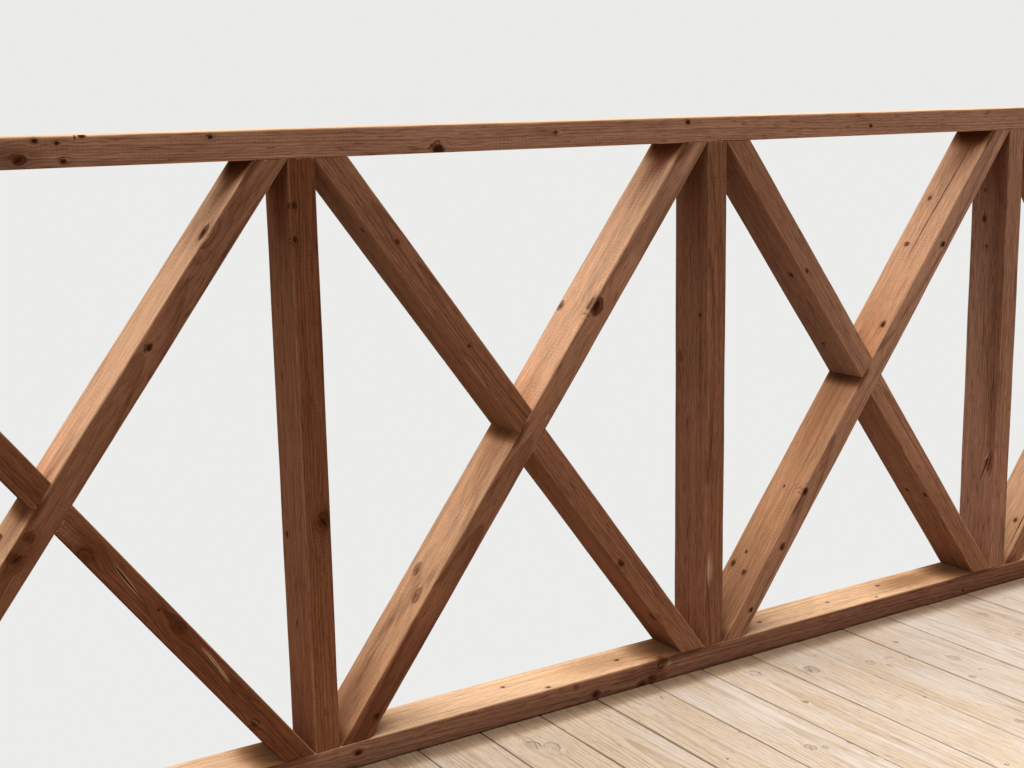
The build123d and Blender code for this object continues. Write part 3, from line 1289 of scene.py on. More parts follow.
SHORT_BRACE_MARKS = {
    1: [
        knot("front", 320, 8, 9, 0.4),
        check("front", 190, 268, 5, 12, 1.6, 4, 1.0),
        check("front", 408, 474, -1, 5, 4.2, 9, 0.5),
        knot("front", 512, -16, 10, 0.3),
        hollow("front", 556, -8, 70, 26, 1.6, 0.12),
        knot("front", 368, 5, 2.5, 0.6),
        chip("left", 104, 26, 2.5),
        knot("front", 107, -12, 6.5, 0.7),
        check("front", 92, 118, -8, -12, 1.6, 3, 0.5),
        tone_and_shade("front", 512, -6, 120, 50, 0.6),
    ],
    2: [
        knot("front", 1025, 4, 4, 0.5),
        knot("left", 1070, -22, 4, 0.5),
        knot("front", 803, -2, 3, 0.6),
        check("left", 762, 800, -46, -30, 2.2, 5),
        check("left", 690, 1010, -16, -21, 1.0, 4),
        knot("front", 267, -15, 6, 0.6),
        knot("left", 117, -32, 7, 0.5),
        check("left", 330, 560, 6, 4, 0.8, 3),
    ],
    3: [
        knot("left", 887, -9, 4.5, 0.7),
        knot("front", 893, -12, 4, 0.5),
        knot("left", 700, 12, 3, 0.7),
        knot("left", 265, 16, 4, 0.8),
        knot("left", 265, -34, 5, 0.6),
        check("front", 380, 560, 4, 8, 0.7, 3),
    ],
}

SOLE_PLATE_MARKS = [
    knot("front", 1537, -13, 10, 0.7),
    hollow("front", 1541, -11, 46, 15, 2.0, 0.15),
    check("front", 1516, 1546, 4, -11, 3.0, 5),
    check("front", 1500, 1520, 12, 6, 2.2, 4),
    chip("left", 1545, 44, 2.5),
    knot("front", 1510, 12, 8, 0.4),
    knot("front", 1488, 19, 8, 0.5),
    tone_and_shade("front", 1516, 0, 80, 50, 1.0),
    tone_and_shade("front", 1464, -4, 80, 30, 0.5),
    # Painted shade on the plate's top beside the feet of the braces
    tone_and_shade("left", 1420, 0, 320, 120, 0.7),
    tone_and_shade("left", 2250, 0, 320, 120, 1.15),
    knot("front", 1382, 11, 7, 0.6),
    knot("front", 896, -4, 5, 0.6),
    check("front", 882, 912, 3, -7, 2.2, 3),
    knot("front", 1337, -13, 4, 0.2),
    knot("front", 2372, 11, 3, 0.6),
    knot("left", 1461, -5, 4, 0.5),
    knot("left", 1816, -7, 4, 0.5),
    knot("left", 1216, 9, 3, 0.7),
    knot("left", 1283, -38, 4, 0.5),
    knot("left", 2171, 13, 4, 0.5),
    knot("left", 2116, -36, 3, 0.5),
    knot("left", 2010, 0, 3.5, 0.5),
]

TOP_RAIL_MARKS = [
    knot("front", 424, 9, 7, 0.6),
    knot("front", 447, -16, 3.5, 0.8),
    knot("front", 477, -12, 3, 0.7),
    knot("front", 484, 13, 3.5, 0.9),
    knot("front", 512, -22, 4, 0.8),
    knot("front", 699, -14, 3, 0.9),
    knot("front", 1080, 16, 8, 0.9),
    knot("front", 1592, -14, 4, 0.8),
    knot("front", 1308, -4, 3.5, 0.5),
    knot("front", 2048, 4, 3.5, 0.6),
    tone_and_shade("front", 415, 6, 130, 44, 0.7),
]

# Deck boards counted from 0 at the left end; places from the shore end
DECK_BOARD_MARKS = {
    10: [
        knot("front", 2466, 9, 12, 0.1),
        knot("front", 2488, -15, 12, 0.2),
        check("front", 2464, 2500, -20, -6, 1.4, 3),
        check("front", 2500, 2514, 10, 14, 1.2, 2),
    ],
    12: [check("front", 2512, 2534, 36, 42, 2.0, 3), knot("front", 2261, -28, 2, 0.9)],
    13: [
        knot("front", 2214, -9, 9, 0.3),
        check("front", 2200, 2222, -16, -6, 1.6, 3),
        knot("front", 2200, 12, 5, 0.3),
        chip("front", 2191, 18, 5),
    ],
    14: [
        knot("front", 2508, 6, 11, 0.1),
        check("front", 2500, 2516, -5, 0, 1.6, 2),
        check("front", 2502, 2514, 14, 20, 1.6, 2),
        knot("front", 2357, -7, 5, 0.6),
        chip("left", 2118, 22, 5),
        check("front", 2104, 2126, -45, -54, 2.0, 4),
    ],
    15: [
        knot("front", 2461, -18, 13, 0.25),
        check("front", 2446, 2476, -27, -14, 2.8, 3),
        check("front", 2500, 2518, 37, 41, 1.8, 2),
        chip("front", 2250, 16, 4),
        check("front", 2196, 2236, -12, -4, 0.9, 2),
    ],
    16: [
        knot("front", 2396, -4, 5, 0.2),
        knot("front", 2427, -24, 8, 0.15),
        knot("front", 2433, 22, 11, 0.1),
        chip("front", 2400, 18, 5),
        check("front", 2394, 2412, 42, 54, 1.6, 3),
        knot("front", 2086, -10, 7, 0.35),
        check("front", 2160, 2186, -16, -8, 1.0, 2),
    ],
    17: [
        knot("front", 2472, -28, 5, 0.5),
        knot("front", 2347, 0, 10, 0.1),
        knot("front", 2282, -3, 4, 0.3),
        knot("front", 2265, -45, 6, 0.35),
        chip("front", 2367, 14, 4),
    ],
    19: [knot("front", 2479, -8, 8, 0.2), knot("front", 2361, -44, 5, 0.3)],
    20: [knot("front", 2514, -20, 3, 0.3)],
}

# Tones fitted to each railing timber, face by face and along its length: partly the staining's own unevenness
# and partly painted shade; post 4's left face, for one, is darkened to make up for the light that falls on it
# from the left
USUAL_STAIN = Stain((0.3, 0.2), (0.3, 0.2), (0.3, 0.5))
POST_STAINS_AND_SHADES = {
    1: even_stain(0.75),
    2: Stain((0.65, 1.0), (0.7, 0.3), (0, 0)),
    3: Stain((0.7, 0.8), (0.75, 0.85), (0.25, 0.5)),
    4: Stain((0.45, 0.35), (0.45, 0.65), (0.8, 0.9)),
}
POST_PITHS = {
    1: (0.05, 0.02),
    2: (0.03, -0.09),
    3: (-0.02, -0.11),
    4: (0.012, -0.08),
    5: (0.03, 0.07),
    6: (-0.04, 0.06),
}
USUAL_PITH = (0.03, 0.07)
LONG_BRACE_STAINS_AND_SHADES = {
    1: Stain((0.75, 0.55), (0.3, -0.6), (0, 0.5)),
    2: Stain((0.85, 0), (0.75, -0.6), (0, 0.9)),
    3: Stain((0.1, -0.1), (1.4, 0.1), (0.5, 1.1)),
}
LOWER_BRACE_STAINS_AND_SHADES = {
    1: Stain((1.2, 0.8), (1.1, 0.7), (0, 0)),
    2: Stain((0.5, 0.6), (0.8, 0.4), (0.25, 0.3)),
    3: Stain((0.35, 0.1), (0.6, 0.5), (0.2, 0.6)),
}
UPPER_BRACE_STAINS_AND_SHADES = {
    1: Stain((0.85, 0.7), (0.85, 0.7), (0, 0)),
    2: Stain((0.65, 0.55), (0.4, 0), (0.1, 0.5)),
    3: Stain((0.25, 0.4), (0.5, 0.5), (0.8, 0.5)),
}

# Boards left of these are browner and less swollen, and have deeper painted shade beside the sole plate
FADED_FROM, SWOLLEN_FROM, LIGHT_SHADE_FROM = 13, 14, 15
BROWNER_TONE, LESS_FADED, LESS_SWOLLEN = 0.08, 0.3, 0.65

# The painted shade on the boards beside the sole plate: its width, and its tone on the boards left and right
PLATE_SHADE, DEEP_SHADE_TONE, LIGHT_SHADE_TONE = 0.11, 2.3, 1.75

# The boards whose marks are known, and how far from the shore end they begin to be
KNOWN_BOARDS = range(8, 21)
KNOWN_BOARD_PART = 1.9

# Where along the rails the marks are known
KNOWN_RAIL_PART = (0.35, 2.45)


def chance_marks(dice, timber, faces, per_metre, largest):
    """Knots where nothing is known of a timber."""
    marks = []
    last = timber.begins + timber.length - 0.04
    place = timber.begins + dice.uniform(0.04, 0.25)
    while place < last:
        face = dice.choice(faces)
        half, _ = spans(timber, face)
        across = dice.uniform(-0.55, 0.55) * half
        marks.append(Knot(face, place, across, dice.uniform(0.3, 1.0) * largest, dice.random()))
        place += dice.uniform(0.5, 1.5) / per_metre
    return marks


def railing_marks(name, timber, known, largest, largest_behind):
    """Marks of the faces in view, known or by chance, and of the faces turned away."""
    seen = known or chance_marks(random.Random(name), timber, ("front", "left", "right"), 4, largest)
    behind = chance_marks(random.Random(name + "_back"), timber, ("back", "right"), 3, largest_behind)
    return seen, behind


def marks_within(timber, marks):
    """Those of a full brace's marks that lie on this piece of it."""
    first, last = timber.begins + 0.01, timber.begins + timber.length - 0.01
    kept = []
    for mark in marks:
        low = mark.begin if isinstance(mark, Check) else mark.along
        high = mark.end if isinstance(mark, Check) else mark.along
        if low > first and high < last:
            kept.append(mark)
    return kept


# Railing


def railing_look(number, pith, stain):
    """How a planed timber of the railing is drawn."""
    settings = bpy.context.scene.railing
    return Look(settings.arris, settings.unevenness, 0.012, 0.015, pith, number, stain)


def post_timber(number):
    """A post, from its foot up."""
    low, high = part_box(f"post_{number}")
    foot = ((low.x + high.x) / 2, (low.y + high.y) / 2, low.z)
    return Timber(foot, (0, 0, 1), (1, 0, 0), high.z - low.z, high.x - low.x, high.y - low.y)


def brace_axes(bay):
    """Slope of the bay's braces, the length of a full one, and its lower and upper corners."""
    low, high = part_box(f"long_brace_{bay}")
    run = high.x - low.x
    slope = math.atan2(INFILL_HEIGHT, run) + math.asin(RAIL_TIMBER_WIDTH / math.hypot(run, INFILL_HEIGHT))
    return slope, INFILL_HEIGHT / math.sin(slope), low, high


def long_brace_timber(bay):
    """The bay's long brace, rising to the right, with its ends cut level."""
    slope, length, low, high = brace_axes(bay)
    c, s = math.cos(slope), math.sin(slope)
    level_cut = RAIL_TIMBER_WIDTH / s
    start = (low.x + level_cut / 2, (low.y + high.y) / 2, low.z)
    cuts = (c / s, c / s)
    return Timber(start, (c, 0, s), (s, 0, -c), length, RAIL_TIMBER_WIDTH, RAIL_TIMBER_DEPTH, cuts)


def short_brace_timbers(bay):
    """The lower and the upper piece, butted on the long brace from both sides."""
    slope, length, low, high = brace_axes(bay)
    c, s = math.cos(slope), math.sin(slope)
    level_cut = RAIL_TIMBER_WIDTH / s
    start = (high.x - level_cut / 2, (low.y + high.y) / 2, low.z)
    along, across = (-c, 0, s), (s, 0, c)
    butt = RAIL_TIMBER_WIDTH / 2 / math.sin(2 * slope)
    butt_cut = -math.cos(2 * slope) / math.sin(2 * slope)
    size = (RAIL_TIMBER_WIDTH, RAIL_TIMBER_DEPTH)
    piece = length / 2 - butt
    lower = Timber(start, along, across, piece, *size, (-c / s, butt_cut))
    upper = Timber(start, along, across, piece, *size, (butt_cut, -c / s), begins=length / 2 + butt)
    return lower, upper


def rail_timber(node):
    """A timber that lies along the railing, from its left end."""
    low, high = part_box(node)
    start = (low.x, (low.y + high.y) / 2, (low.z + high.z) / 2)
    return Timber(start, (1, 0, 0), (0, 0, -1), high.x - low.x, high.z - low.z, high.y - low.y)


class DECK_OT_posts(bpy.types.Operator):
    """Stands the railing's posts on the sole plate"""

    bl_idname = "deck.posts"
    bl_label = "Posts"

    def execute(self, context):
        material = stained_timber()
        for number in range(1, BAYS + 2):
            node = f"post_{number}"
            timber = post_timber(number)
            pith = POST_PITHS.get(number, USUAL_PITH)
            look = railing_look(number, pith, POST_STAINS_AND_SHADES.get(number, USUAL_STAIN))
            marks, behind = railing_marks(node, timber, POST_MARKS.get(number), 0.006, 0.006)
            if number in POST_MARKS:
                marks = marks + behind
            skin = Skin()
            add_timber(skin, timber, look, marks, node)
            add_fibres(skin, timber, look, "front", "end", 14, node + "_fibres")
            skin.build(f"{node}_timber", material, "stained_timber", node)
        return {"FINISHED"}


# Painted shade in a long brace's corners: share of its length, the shade's width and its tone
BRACE_CORNERS = ((1.0, 0.11, 2.6), (0.5, 0.066, 2.2), (0.0, 0.07, 1.2))


class DECK_OT_long_braces(bpy.types.Operator):
    """Sets the full-length braces, one to a bay"""

    bl_idname = "deck.long_braces"
    bl_label = "Long Braces"

    def execute(self, context):
        material = stained_timber()
        for bay in range(1, BAYS + 1):
            node = f"long_brace_{bay}"
            timber = long_brace_timber(bay)
            stain = LONG_BRACE_STAINS_AND_SHADES.get(bay, USUAL_STAIN)
            look = railing_look(LONG_BRACE_LOGS + bay, (0.01 * (bay % 3) - 0.015, 0.07), stain)
            marks, behind = railing_marks(node, timber, LONG_BRACE_MARKS.get(bay), 0.008, 0.007)
            rise = timber.skew(0.0, -timber.width / 2)
            corners = [
                shade("left", share * timber.length + rise, width, tone)
                for share, width, tone in BRACE_CORNERS
            ]
            skin = Skin()
            add_timber(skin, timber, look, marks + behind + corners, node)
            add_fibres(skin, timber, look, "front", "end", 8, node + "_fibres")
            skin.build(f"{node}_timber", material, "stained_timber", node)
        return {"FINISHED"}


class DECK_OT_short_braces(bpy.types.Operator):
    """Sets the two short braces of each bay, butted on the long one"""

    bl_idname = "deck.short_braces"
    bl_label = "Short Braces"

    def execute(self, context):
        material = stained_timber()
        for bay in range(1, BAYS + 1):
            node = f"short_braces_{bay}"
            skin = Skin()
            for part, timber in enumerate(short_brace_timbers(bay)):
                stain = (LOWER_BRACE_STAINS_AND_SHADES, UPPER_BRACE_STAINS_AND_SHADES)[part].get(bay, USUAL_STAIN)
                look = railing_look(SHORT_BRACE_LOGS + 2 * bay + part, (0.012, -0.06 - 0.01 * part), stain)
                name = f"{node}_{part}"
                marks, behind = railing_marks(name, timber, SHORT_BRACE_MARKS.get(bay), 0.008, 0.007)
                add_timber(skin, timber, look, marks_within(timber, marks + behind), name)
                butt = "begin" if timber.begins else "end"
                add_fibres(skin, timber, look, "front", butt, 12, name + "_fibres")
                add_fibres(skin, timber, look, "left", butt, 16, name + "_more_fibres")
            skin.build(f"{node}_timber", material, "stained_timber", node)
        return {"FINISHED"}


# The painted shade on the sole plate at a short brace's foot: its width, narrower in the first bay, and its
# tone
FOOT_SHADE, FIRST_FOOT_SHADE, FOOT_TONE = 0.22, 0.15, 2.4


def brace_foot_shades(plate):
    """The painted shade on the sole plate at the foot of each bay's short brace."""
    shades = []
    for bay in range(1, BAYS + 1):
        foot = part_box(f"short_braces_{bay}")[1].x - RAIL_TIMBER_WIDTH / math.sin(brace_axes(bay)[0])
        width = FIRST_FOOT_SHADE if bay == 1 else FOOT_SHADE
        shades.append(shade("left", foot - plate.start[0], width, FOOT_TONE))
    return shades


class DECK_OT_rails(bpy.types.Operator):
    """Lays the sole plate on the boards and the top rail on the posts"""

    bl_idname = "deck.rails"
    bl_label = "Sole Plate and Top Rail"

    def execute(self, context):
        material = stained_timber()
        # The plate's and the rail's tones, fitted along each, are partly staining and partly painted shade
        plate_look = railing_look(RAIL_LOGS, (0.05, 0.05), Stain((0.3, 1.4), (0.1, 0.9), (1.1, 0.9)))
        rail_look = railing_look(RAIL_LOGS + 1, (0.09, 0.01), Stain((0.1, 0), (0.1, 0), (0.6, 1)))
        looks = {"sole_plate": (plate_look, SOLE_PLATE_MARKS), "top_rail": (rail_look, TOP_RAIL_MARKS)}
        first, last = KNOWN_RAIL_PART
        for node, (look, marks) in looks.items():
            timber = rail_timber(node)
            dice = random.Random(node)
            unseen = chance_marks(dice, timber, ("front", "left"), 3, 0.008)
            unseen = [mark for mark in unseen if not first < mark.along < last]
            back = chance_marks(dice, timber, ("back",), 3, 0.008)
            shades = brace_foot_shades(timber) if node == "sole_plate" else []
            skin = Skin()
            add_timber(skin, timber, look, marks + unseen + back + shades, node)
            skin.build(f"{node}_timber", material, "stained_timber", node)
        return {"FINISHED"}


# Deck

# Metres by which one board may lie lower than the next
MOST_SUNK = 0.0006


def board_number(group, place):
    """A board's number, counted from 0 at the left end of the deck."""
    return (group - 1) * BOARDS_PER_GROUP + place


def board_timber(group, place):
    """One board of a group, with its chance shortfall in length and height."""
    low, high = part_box(f"deck_boards_{group}")
    settings = bpy.context.scene.decking
    number = board_number(group, place)
    swelling = settings.swelling if 0 < number < LAST_BOARD else 0.0
    swelling *= LESS_SWOLLEN if number < SWOLLEN_FROM else 1.0
    dice = random.Random(f"board_{group}_{place}")
    pitch = (high.x - low.x - BOARD_WIDTH) / (BOARDS_PER_GROUP - 1)
    middle = low.x + BOARD_WIDTH / 2 + place * pitch
    near_end = low.y + dice.uniform(0, settings.end_trim)
    far_end = high.y - dice.uniform(0, settings.end_trim)
    sunk = dice.uniform(0, MOST_SUNK)
    start = (middle, near_end, (low.z + high.z) / 2 - sunk)
    thickness = high.z - low.z - 2 * sunk
    return Timber(start, (0, 1, 0), (1, 0, 0), far_end - near_end, BOARD_WIDTH + swelling, thickness)


def board_marks(number, timber, dice):
    """A board's known marks, chance knots where none is known, and the painted shade beside the sole plate.
    """
    marks = list(DECK_BOARD_MARKS.get(number, []))
    for mark in chance_marks(dice, timber, ("front",), 2.2, 0.010):
        if mark.along < KNOWN_BOARD_PART or number not in KNOWN_BOARDS:
            marks.append(mark)
    tone = DEEP_SHADE_TONE if number < LIGHT_SHADE_FROM else LIGHT_SHADE_TONE
    marks.append(shade("front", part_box("sole_plate")[0].y - timber.start[1], PLATE_SHADE, tone))
    return marks


class DECK_OT_boards(bpy.types.Operator):
    """Lays the deck boards, square to the railing"""

    bl_idname = "deck.boards"
    bl_label = "Deck Boards"

    def execute(self, context):
        settings = context.scene.decking
        material = deck_timber()
        for group in range(1, BOARD_GROUPS + 1):
            node = f"deck_boards_{group}"
            skin = Skin()
            for place in range(BOARDS_PER_GROUP):
                number = board_number(group, place)
                browner = number < FADED_FROM
                dice = random.Random(f"board_look_{number}")
                timber = board_timber(group, place)
                pith = (dice.uniform(-0.035, 0.035), dice.uniform(0.015, 0.07))
                tone = dice.uniform(0.0, 0.15) + (BROWNER_TONE if browner else 0.0)
                faded = dice.uniform(-0.6, -0.05) - (LESS_FADED if browner else 0.0)
                # Painted shade on the sides of every board but the outermost, in the gaps between them
                soil = 0.25 if 0 < number < LAST_BOARD else 0.0
                size = (settings.arris, settings.cupping, 0.025, 0.02)
                look = Look(*size, pith, BOARD_LOGS + number, even_stain(tone, faded), soil)
                add_timber(skin, timber, look, board_marks(number, timber, dice), f"board_{number}")
            skin.build(f"{node}_timber", material, "deck_timber", node)
        return {"FINISHED"}


# Frame and piles


def support_look(number, dice, tone):
    """How a sawn timber of the frame is drawn."""
    settings = bpy.context.scene.support
    pith = (dice.uniform(-0.03, 0.03), dice.uniform(-0.03, 0.03))
    return Look(settings.arris, settings.unevenness, 0.03, 0.03, pith, number, even_stain(tone))


def crossing_timber(low, high, middle_x, width):
    """A timber of the frame that runs out towards the water."""
    start = (middle_x, low.y, (low.z + high.z) / 2)
    return Timber(start, (0, 1, 0), (1, 0, 0), high.y - low.y, width, high.z - low.z)


class DECK_OT_joists(bpy.types.Operator):
    """Sets the joists under the boards and the boards that close their ends"""

    bl_idname = "deck.joists"
    bl_label = "Joists and End Boards"

    def execute(self, context):
        material = frame_timber()
        for number in range(1, JOISTS + 1):
            node = f"joist_{number}"
            dice = random.Random(node)
            timber = rail_timber(node)
            marks = chance_marks(dice, timber, ("front", "back"), 2, 0.012)
            skin = Skin()
            look = support_look(JOIST_LOGS + number, dice, dice.uniform(0, 0.3))
            add_timber(skin, timber, look, marks, node)
            skin.build(f"{node}_timber", material, "frame_timber", node)
        for number, node in enumerate(("left_end_board", "right_end_board")):
            dice = random.Random(node)
            low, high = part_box(node)
            timber = crossing_timber(low, high, (low.x + high.x) / 2, high.x - low.x)
            marks = chance_marks(dice, timber, ("left", "right"), 3, 0.011)
            skin = Skin()
            add_timber(skin, timber, support_look(END_BOARD_LOGS + number, dice, 0.1), marks, node)
            skin.build(f"{node}_timber", material, "frame_timber", node)
        return {"FINISHED"}


class DECK_OT_bearers(bpy.types.Operator):
    """Sets the paired bearers on both sides of each line of piles"""

    bl_idname = "deck.bearers"
    bl_label = "Bearers"

    def execute(self, context):
        material = frame_timber()
        width = RAIL_TIMBER_WIDTH
        for line in range(1, LINES + 1):
            node = f"bearers_{line}"
            low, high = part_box(node)
            skin = Skin()
            for side, middle in enumerate((low.x + width / 2, high.x - width / 2)):
                name = f"{node}_{side}"
                dice = random.Random(name)
                timber = crossing_timber(low, high, middle, width)
                marks = chance_marks(dice, timber, ("left", "right"), 3, 0.013)
                look = support_look(BEARER_LOGS + 2 * line + side, dice, dice.uniform(0, 0.3))
                add_timber(skin, timber, look, marks, name)
            skin.build(f"{node}_timber", material, "frame_timber", node)
        return {"FINISHED"}


PILE_SIDES = 72
PILE_CRACKS = 4
PILE_CRACK_DEPTH = 0.006
PILE_UNEVENNESS = 0.0035


def pile_cracks(dice, z, angles):
    """How far the drying cracks of a pile stand open at each point, from 0 to 1."""
    opened = np.zeros((len(z), len(angles)))
    for _ in range(PILE_CRACKS):
        centre, begin = any_turn(dice), dice.uniform(0, 0.6)
        run = dice.uniform(0.25, 0.6)
        part = np.clip((z - begin) / run, 0, 1)
        line = np.abs((angles - centre + math.pi) % (2 * math.pi) - math.pi) < 0.045
        opened = np.maximum(opened, np.sin(math.pi * part)[:, None] * line[None, :])
    return opened


class DECK_OT_piles(bpy.types.Operator):
    """Stands the round piles, notched on both sides to carry the bearers"""

    bl_idname = "deck.piles"
    bl_label = "Piles"

    chamfer: distance("Chamfer", "Slope at the pile's top", 0.008)
    tenon: distance("Tenon", "Thickness left between the bearers", 0.1)

    def levels(self, low, high, radius):
        """Height, radius and half the width between the flats, from the foot to the top."""
        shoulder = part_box("bearers_1")[0].z
        shaft = [(z, radius, radius) for z in np.linspace(low.z, shoulder, 60)]
        above = np.linspace(shoulder, high.z - self.chamfer, 10)
        above = [(z, radius, self.tenon / 2) for z in above]
        return np.array([*shaft, *above, (high.z, radius - self.chamfer, self.tenon / 2)])

    def execute(self, context):
        settings = context.scene.support
        material = pile_timber()
        angles = np.linspace(0, 2 * math.pi, PILE_SIDES, endpoint=False) + 0.001
        for number in range(1, PILES + 1):
            node = f"pile_{number}"
            dice = random.Random(node)
            low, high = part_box(node)
            middle = (low + high) / 2
            z, radius, flat = self.levels(low, high, (high.x - low.x) / 2).T
            uneven = PILE_UNEVENNESS * waves(dice, z[:, None], angles[None, :], reach=0.8)
            opened = pile_cracks(dice, z, angles)
            out = radius[:, None] - uneven - PILE_CRACK_DEPTH * opened
            x = np.clip(out * np.cos(angles), -flat[:, None], flat[:, None])
            y = out * np.sin(angles)
            height = np.repeat(z[:, None], len(angles), 1)
            heart = (dice.uniform(-0.012, 0.012), dice.uniform(-0.012, 0.012))
            grain = np.stack([height + LOG_SPACING * (PILE_LOGS + number), x - heart[0], y - heart[1]], -1)
            none = np.zeros(x.shape)
            damp = np.clip(1.2 - height / settings.damp, 0, 1)
            skin = Skin()
            # The drying cracks are painted dark as well as cut in: painted shade in the cracks
            skin.add_log(
                np.stack([x + middle.x, y + middle.y, height], -1),
                grain,
                np.stack([none, none, np.clip(opened * 1.5, 0, 1)], -1),
                np.stack([0.15 + 0.75 * damp, none, none], -1),
            )
            skin.build(f"{node}_timber", material, "pile_timber", node)
        return {"FINISHED"}


# Fixings


def lathe(profile, sides, phase=0.0):
    """Points and faces of a profile of (radius, height) turned about Z, closed at both ends."""
    angles = [phase + 2 * math.pi * i / sides for i in range(sides)]
    points = []
    for radius, height in profile:
        points += [(radius * math.cos(a), radius * math.sin(a), height) for a in angles]
    faces = strip(len(profile), sides)
    faces.append(tuple(range(sides - 1, -1, -1)))
    faces.append(tuple((len(profile) - 1) * sides + side for side in range(sides)))
    return np.array(points), faces


def screw_head(radius):
    """A countersunk head with a six-lobed recess, its top at height 0."""
    sides = 24
    angles = np.arange(sides) * 2 * math.pi / sides
    lobes = radius * (0.38 + 0.07 * np.cos(6 * angles))
    levels = [
        (np.full(sides, 0.55 * radius), -0.75 * radius),
        (np.full(sides, radius), -0.10 * radius),
        (np.full(sides, 0.94 * radius), 0.0),
        (lobes * 1.08, 0.02 * radius),
        (lobes, -0.05 * radius),
        (lobes * 0.85, -0.45 * radius),
    ]
    points = []
    for size, height in levels:
        points.append(np.stack([size * np.cos(angles), size * np.sin(angles), np.full(sides, height)], -1))
    faces = strip(len(levels), sides)
    faces.append(tuple(range((len(levels) - 1) * sides, len(levels) * sides)))
    return np.concatenate(points), faces


def board_screw_places(group, edge_distance):
    """Places and turns of the screws of one group of boards, two at each joist but the outermost."""
    places = []
    for place in range(BOARDS_PER_GROUP):
        board = board_timber(group, place)
        top = board.start[2] + board.depth / 2
        for joist in range(2, JOISTS + 1):
            low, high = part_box(f"joist_{joist}")
            for side in (-1, 1):
                dice = random.Random(f"screw_{group}_{place}_{joist}_{side}")
                x = board.start[0] + side * (BOARD_WIDTH / 2 - edge_distance)
                x += dice.uniform(-0.0025, 0.0025)
                y = (low.y + high.y) / 2 + dice.uniform(-0.005, 0.005)
                places.append(((x, y, top - 0.0004), any_turn(dice)))
    return places


class DECK_OT_screws(bpy.types.Operator):
    """Drives two screws through each board at each joist, and two through the top rail at each post"""

    bl_idname = "deck.screws"
    bl_label = "Screws"

    def execute(self, context):
        settings = context.scene.fixings
        material = metal_material("screw_steel", tuple(settings.steel), 0.35)
        head, faces = screw_head(settings.head_radius)
        for group in range(1, BOARD_GROUPS + 1):
            skin = Skin()
            for spot, turn in board_screw_places(group, settings.edge_distance):
                turned_head = head @ np.array(Matrix.Rotation(turn, 3, "Z")).T
                skin.add(turned_head + spot, faces)
            skin.build(f"board_screws_{group}", material, "galvanised_steel")
        skin = Skin()
        large, large_faces = screw_head(1.2 * settings.head_radius)
        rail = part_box("top_rail")
        for number in range(1, BAYS + 2):
            low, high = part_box(f"post_{number}")
            for share_of_depth in (0.27, 0.73):
                dice = random.Random(f"rail_screw_{number}_{share_of_depth}")
                x = (low.x + high.x) / 2 + dice.uniform(-0.004, 0.004)
                y = low.y + share_of_depth * (high.y - low.y)
                skin.add(large + (x, y, rail[1].z - 0.001), large_faces)
        skin.build("rail_screws", material, "galvanised_steel")
        return {"FINISHED"}


# A bolt, its nut and its washers, in metres
BOLT_DIAMETER = 0.016
BOLT_SPACING = 0.1
NUT_WIDTH = 0.024
NUT_THICKNESS = 0.013
WASHER_WIDTH = 0.05
WASHER_THICKNESS = 0.004
WASHER_RIM = 0.0006
HEXAGON_RIM = 0.0015
THREAD_PITCH = 0.002


def bolt_parts():
    """Head, washers, nut and threaded tail of one bolt along Z, its grip centred on 0."""
    low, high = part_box("bolts_1")
    bearer_low, bearer_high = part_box("bearers_1")
    seat = (bearer_high.x - bearer_low.x) / 2
    middle = (bearer_high.x + bearer_low.x) / 2
    nut_end, head_end = high.x - middle, low.x - middle
    corner = NUT_WIDTH / math.sqrt(3)
    half = WASHER_WIDTH / math.sqrt(2)
    outside = seat + WASHER_THICKNESS
    nut_top = outside + NUT_THICKNESS
    parts = []
    for side in (-1, 1):
        inner, outer = sorted((side * seat, side * outside))
        rim = WASHER_RIM
        profile = [(half - rim, inner), (half, inner + rim), (half, outer - rim), (half - rim, outer)]
        parts.append(lathe(profile, 4, math.pi / 4))
    head = [(0.9 * corner, head_end), (corner, head_end + HEXAGON_RIM), (corner, -outside)]
    nut = [(corner, outside), (corner, nut_top - HEXAGON_RIM), (0.9 * corner, nut_top)]
    parts.append(lathe(head, 6))
    parts.append(lathe(nut, 6, 0.3))
    thread = [(0.42 * BOLT_DIAMETER, nut_top - 0.001)]
    height = nut_top - 0.0005
    while height < nut_end - THREAD_PITCH:
        thread += [(BOLT_DIAMETER / 2, height), (0.43 * BOLT_DIAMETER, height + THREAD_PITCH / 2)]
        height += THREAD_PITCH
    thread += [(0.46 * BOLT_DIAMETER, height), (0.36 * BOLT_DIAMETER, nut_end)]
    parts.append(lathe(thread, 20))
    return parts


class DECK_OT_bolts(bpy.types.Operator):
    """Draws the bolts through bearers and piles, with washers, nuts and threads"""

    bl_idname = "deck.bolts"
    bl_label = "Bolts"

    def execute(self, context):
        settings = context.scene.fixings
        material = metal_material("zinc_coating", tuple(settings.zinc), 0.4)
        parts = bolt_parts()
        piles = [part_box(f"pile_{number}") for number in range(1, PILES + 1)]
        for line in range(1, LINES + 1):
            node = f"bolts_{line}"
            low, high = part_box(node)
            bearer_low, bearer_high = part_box(f"bearers_{line}")
            middle = (bearer_low.x + bearer_high.x) / 2
            level = (low.z + high.z) / 2
            skin = Skin()
            for pile_low, pile_high in piles:
                centre = (pile_low + pile_high) / 2
                if not pile_low.x < middle < pile_high.x:
                    continue
                for side in (-1, 1):
                    spot = (middle, centre.y, level + side * BOLT_SPACING / 2)
                    for points, faces in parts:
                        lying = np.stack([points[:, 2], points[:, 1], -points[:, 0]], -1)
                        skin.add(lying + spot, faces)
            piece = skin.build(f"{node}_steel", material, "galvanised_steel", node)
            piece.data.polygons.foreach_set("use_smooth", [False] * len(piece.data.polygons))
        return {"FINISHED"}


# Studio


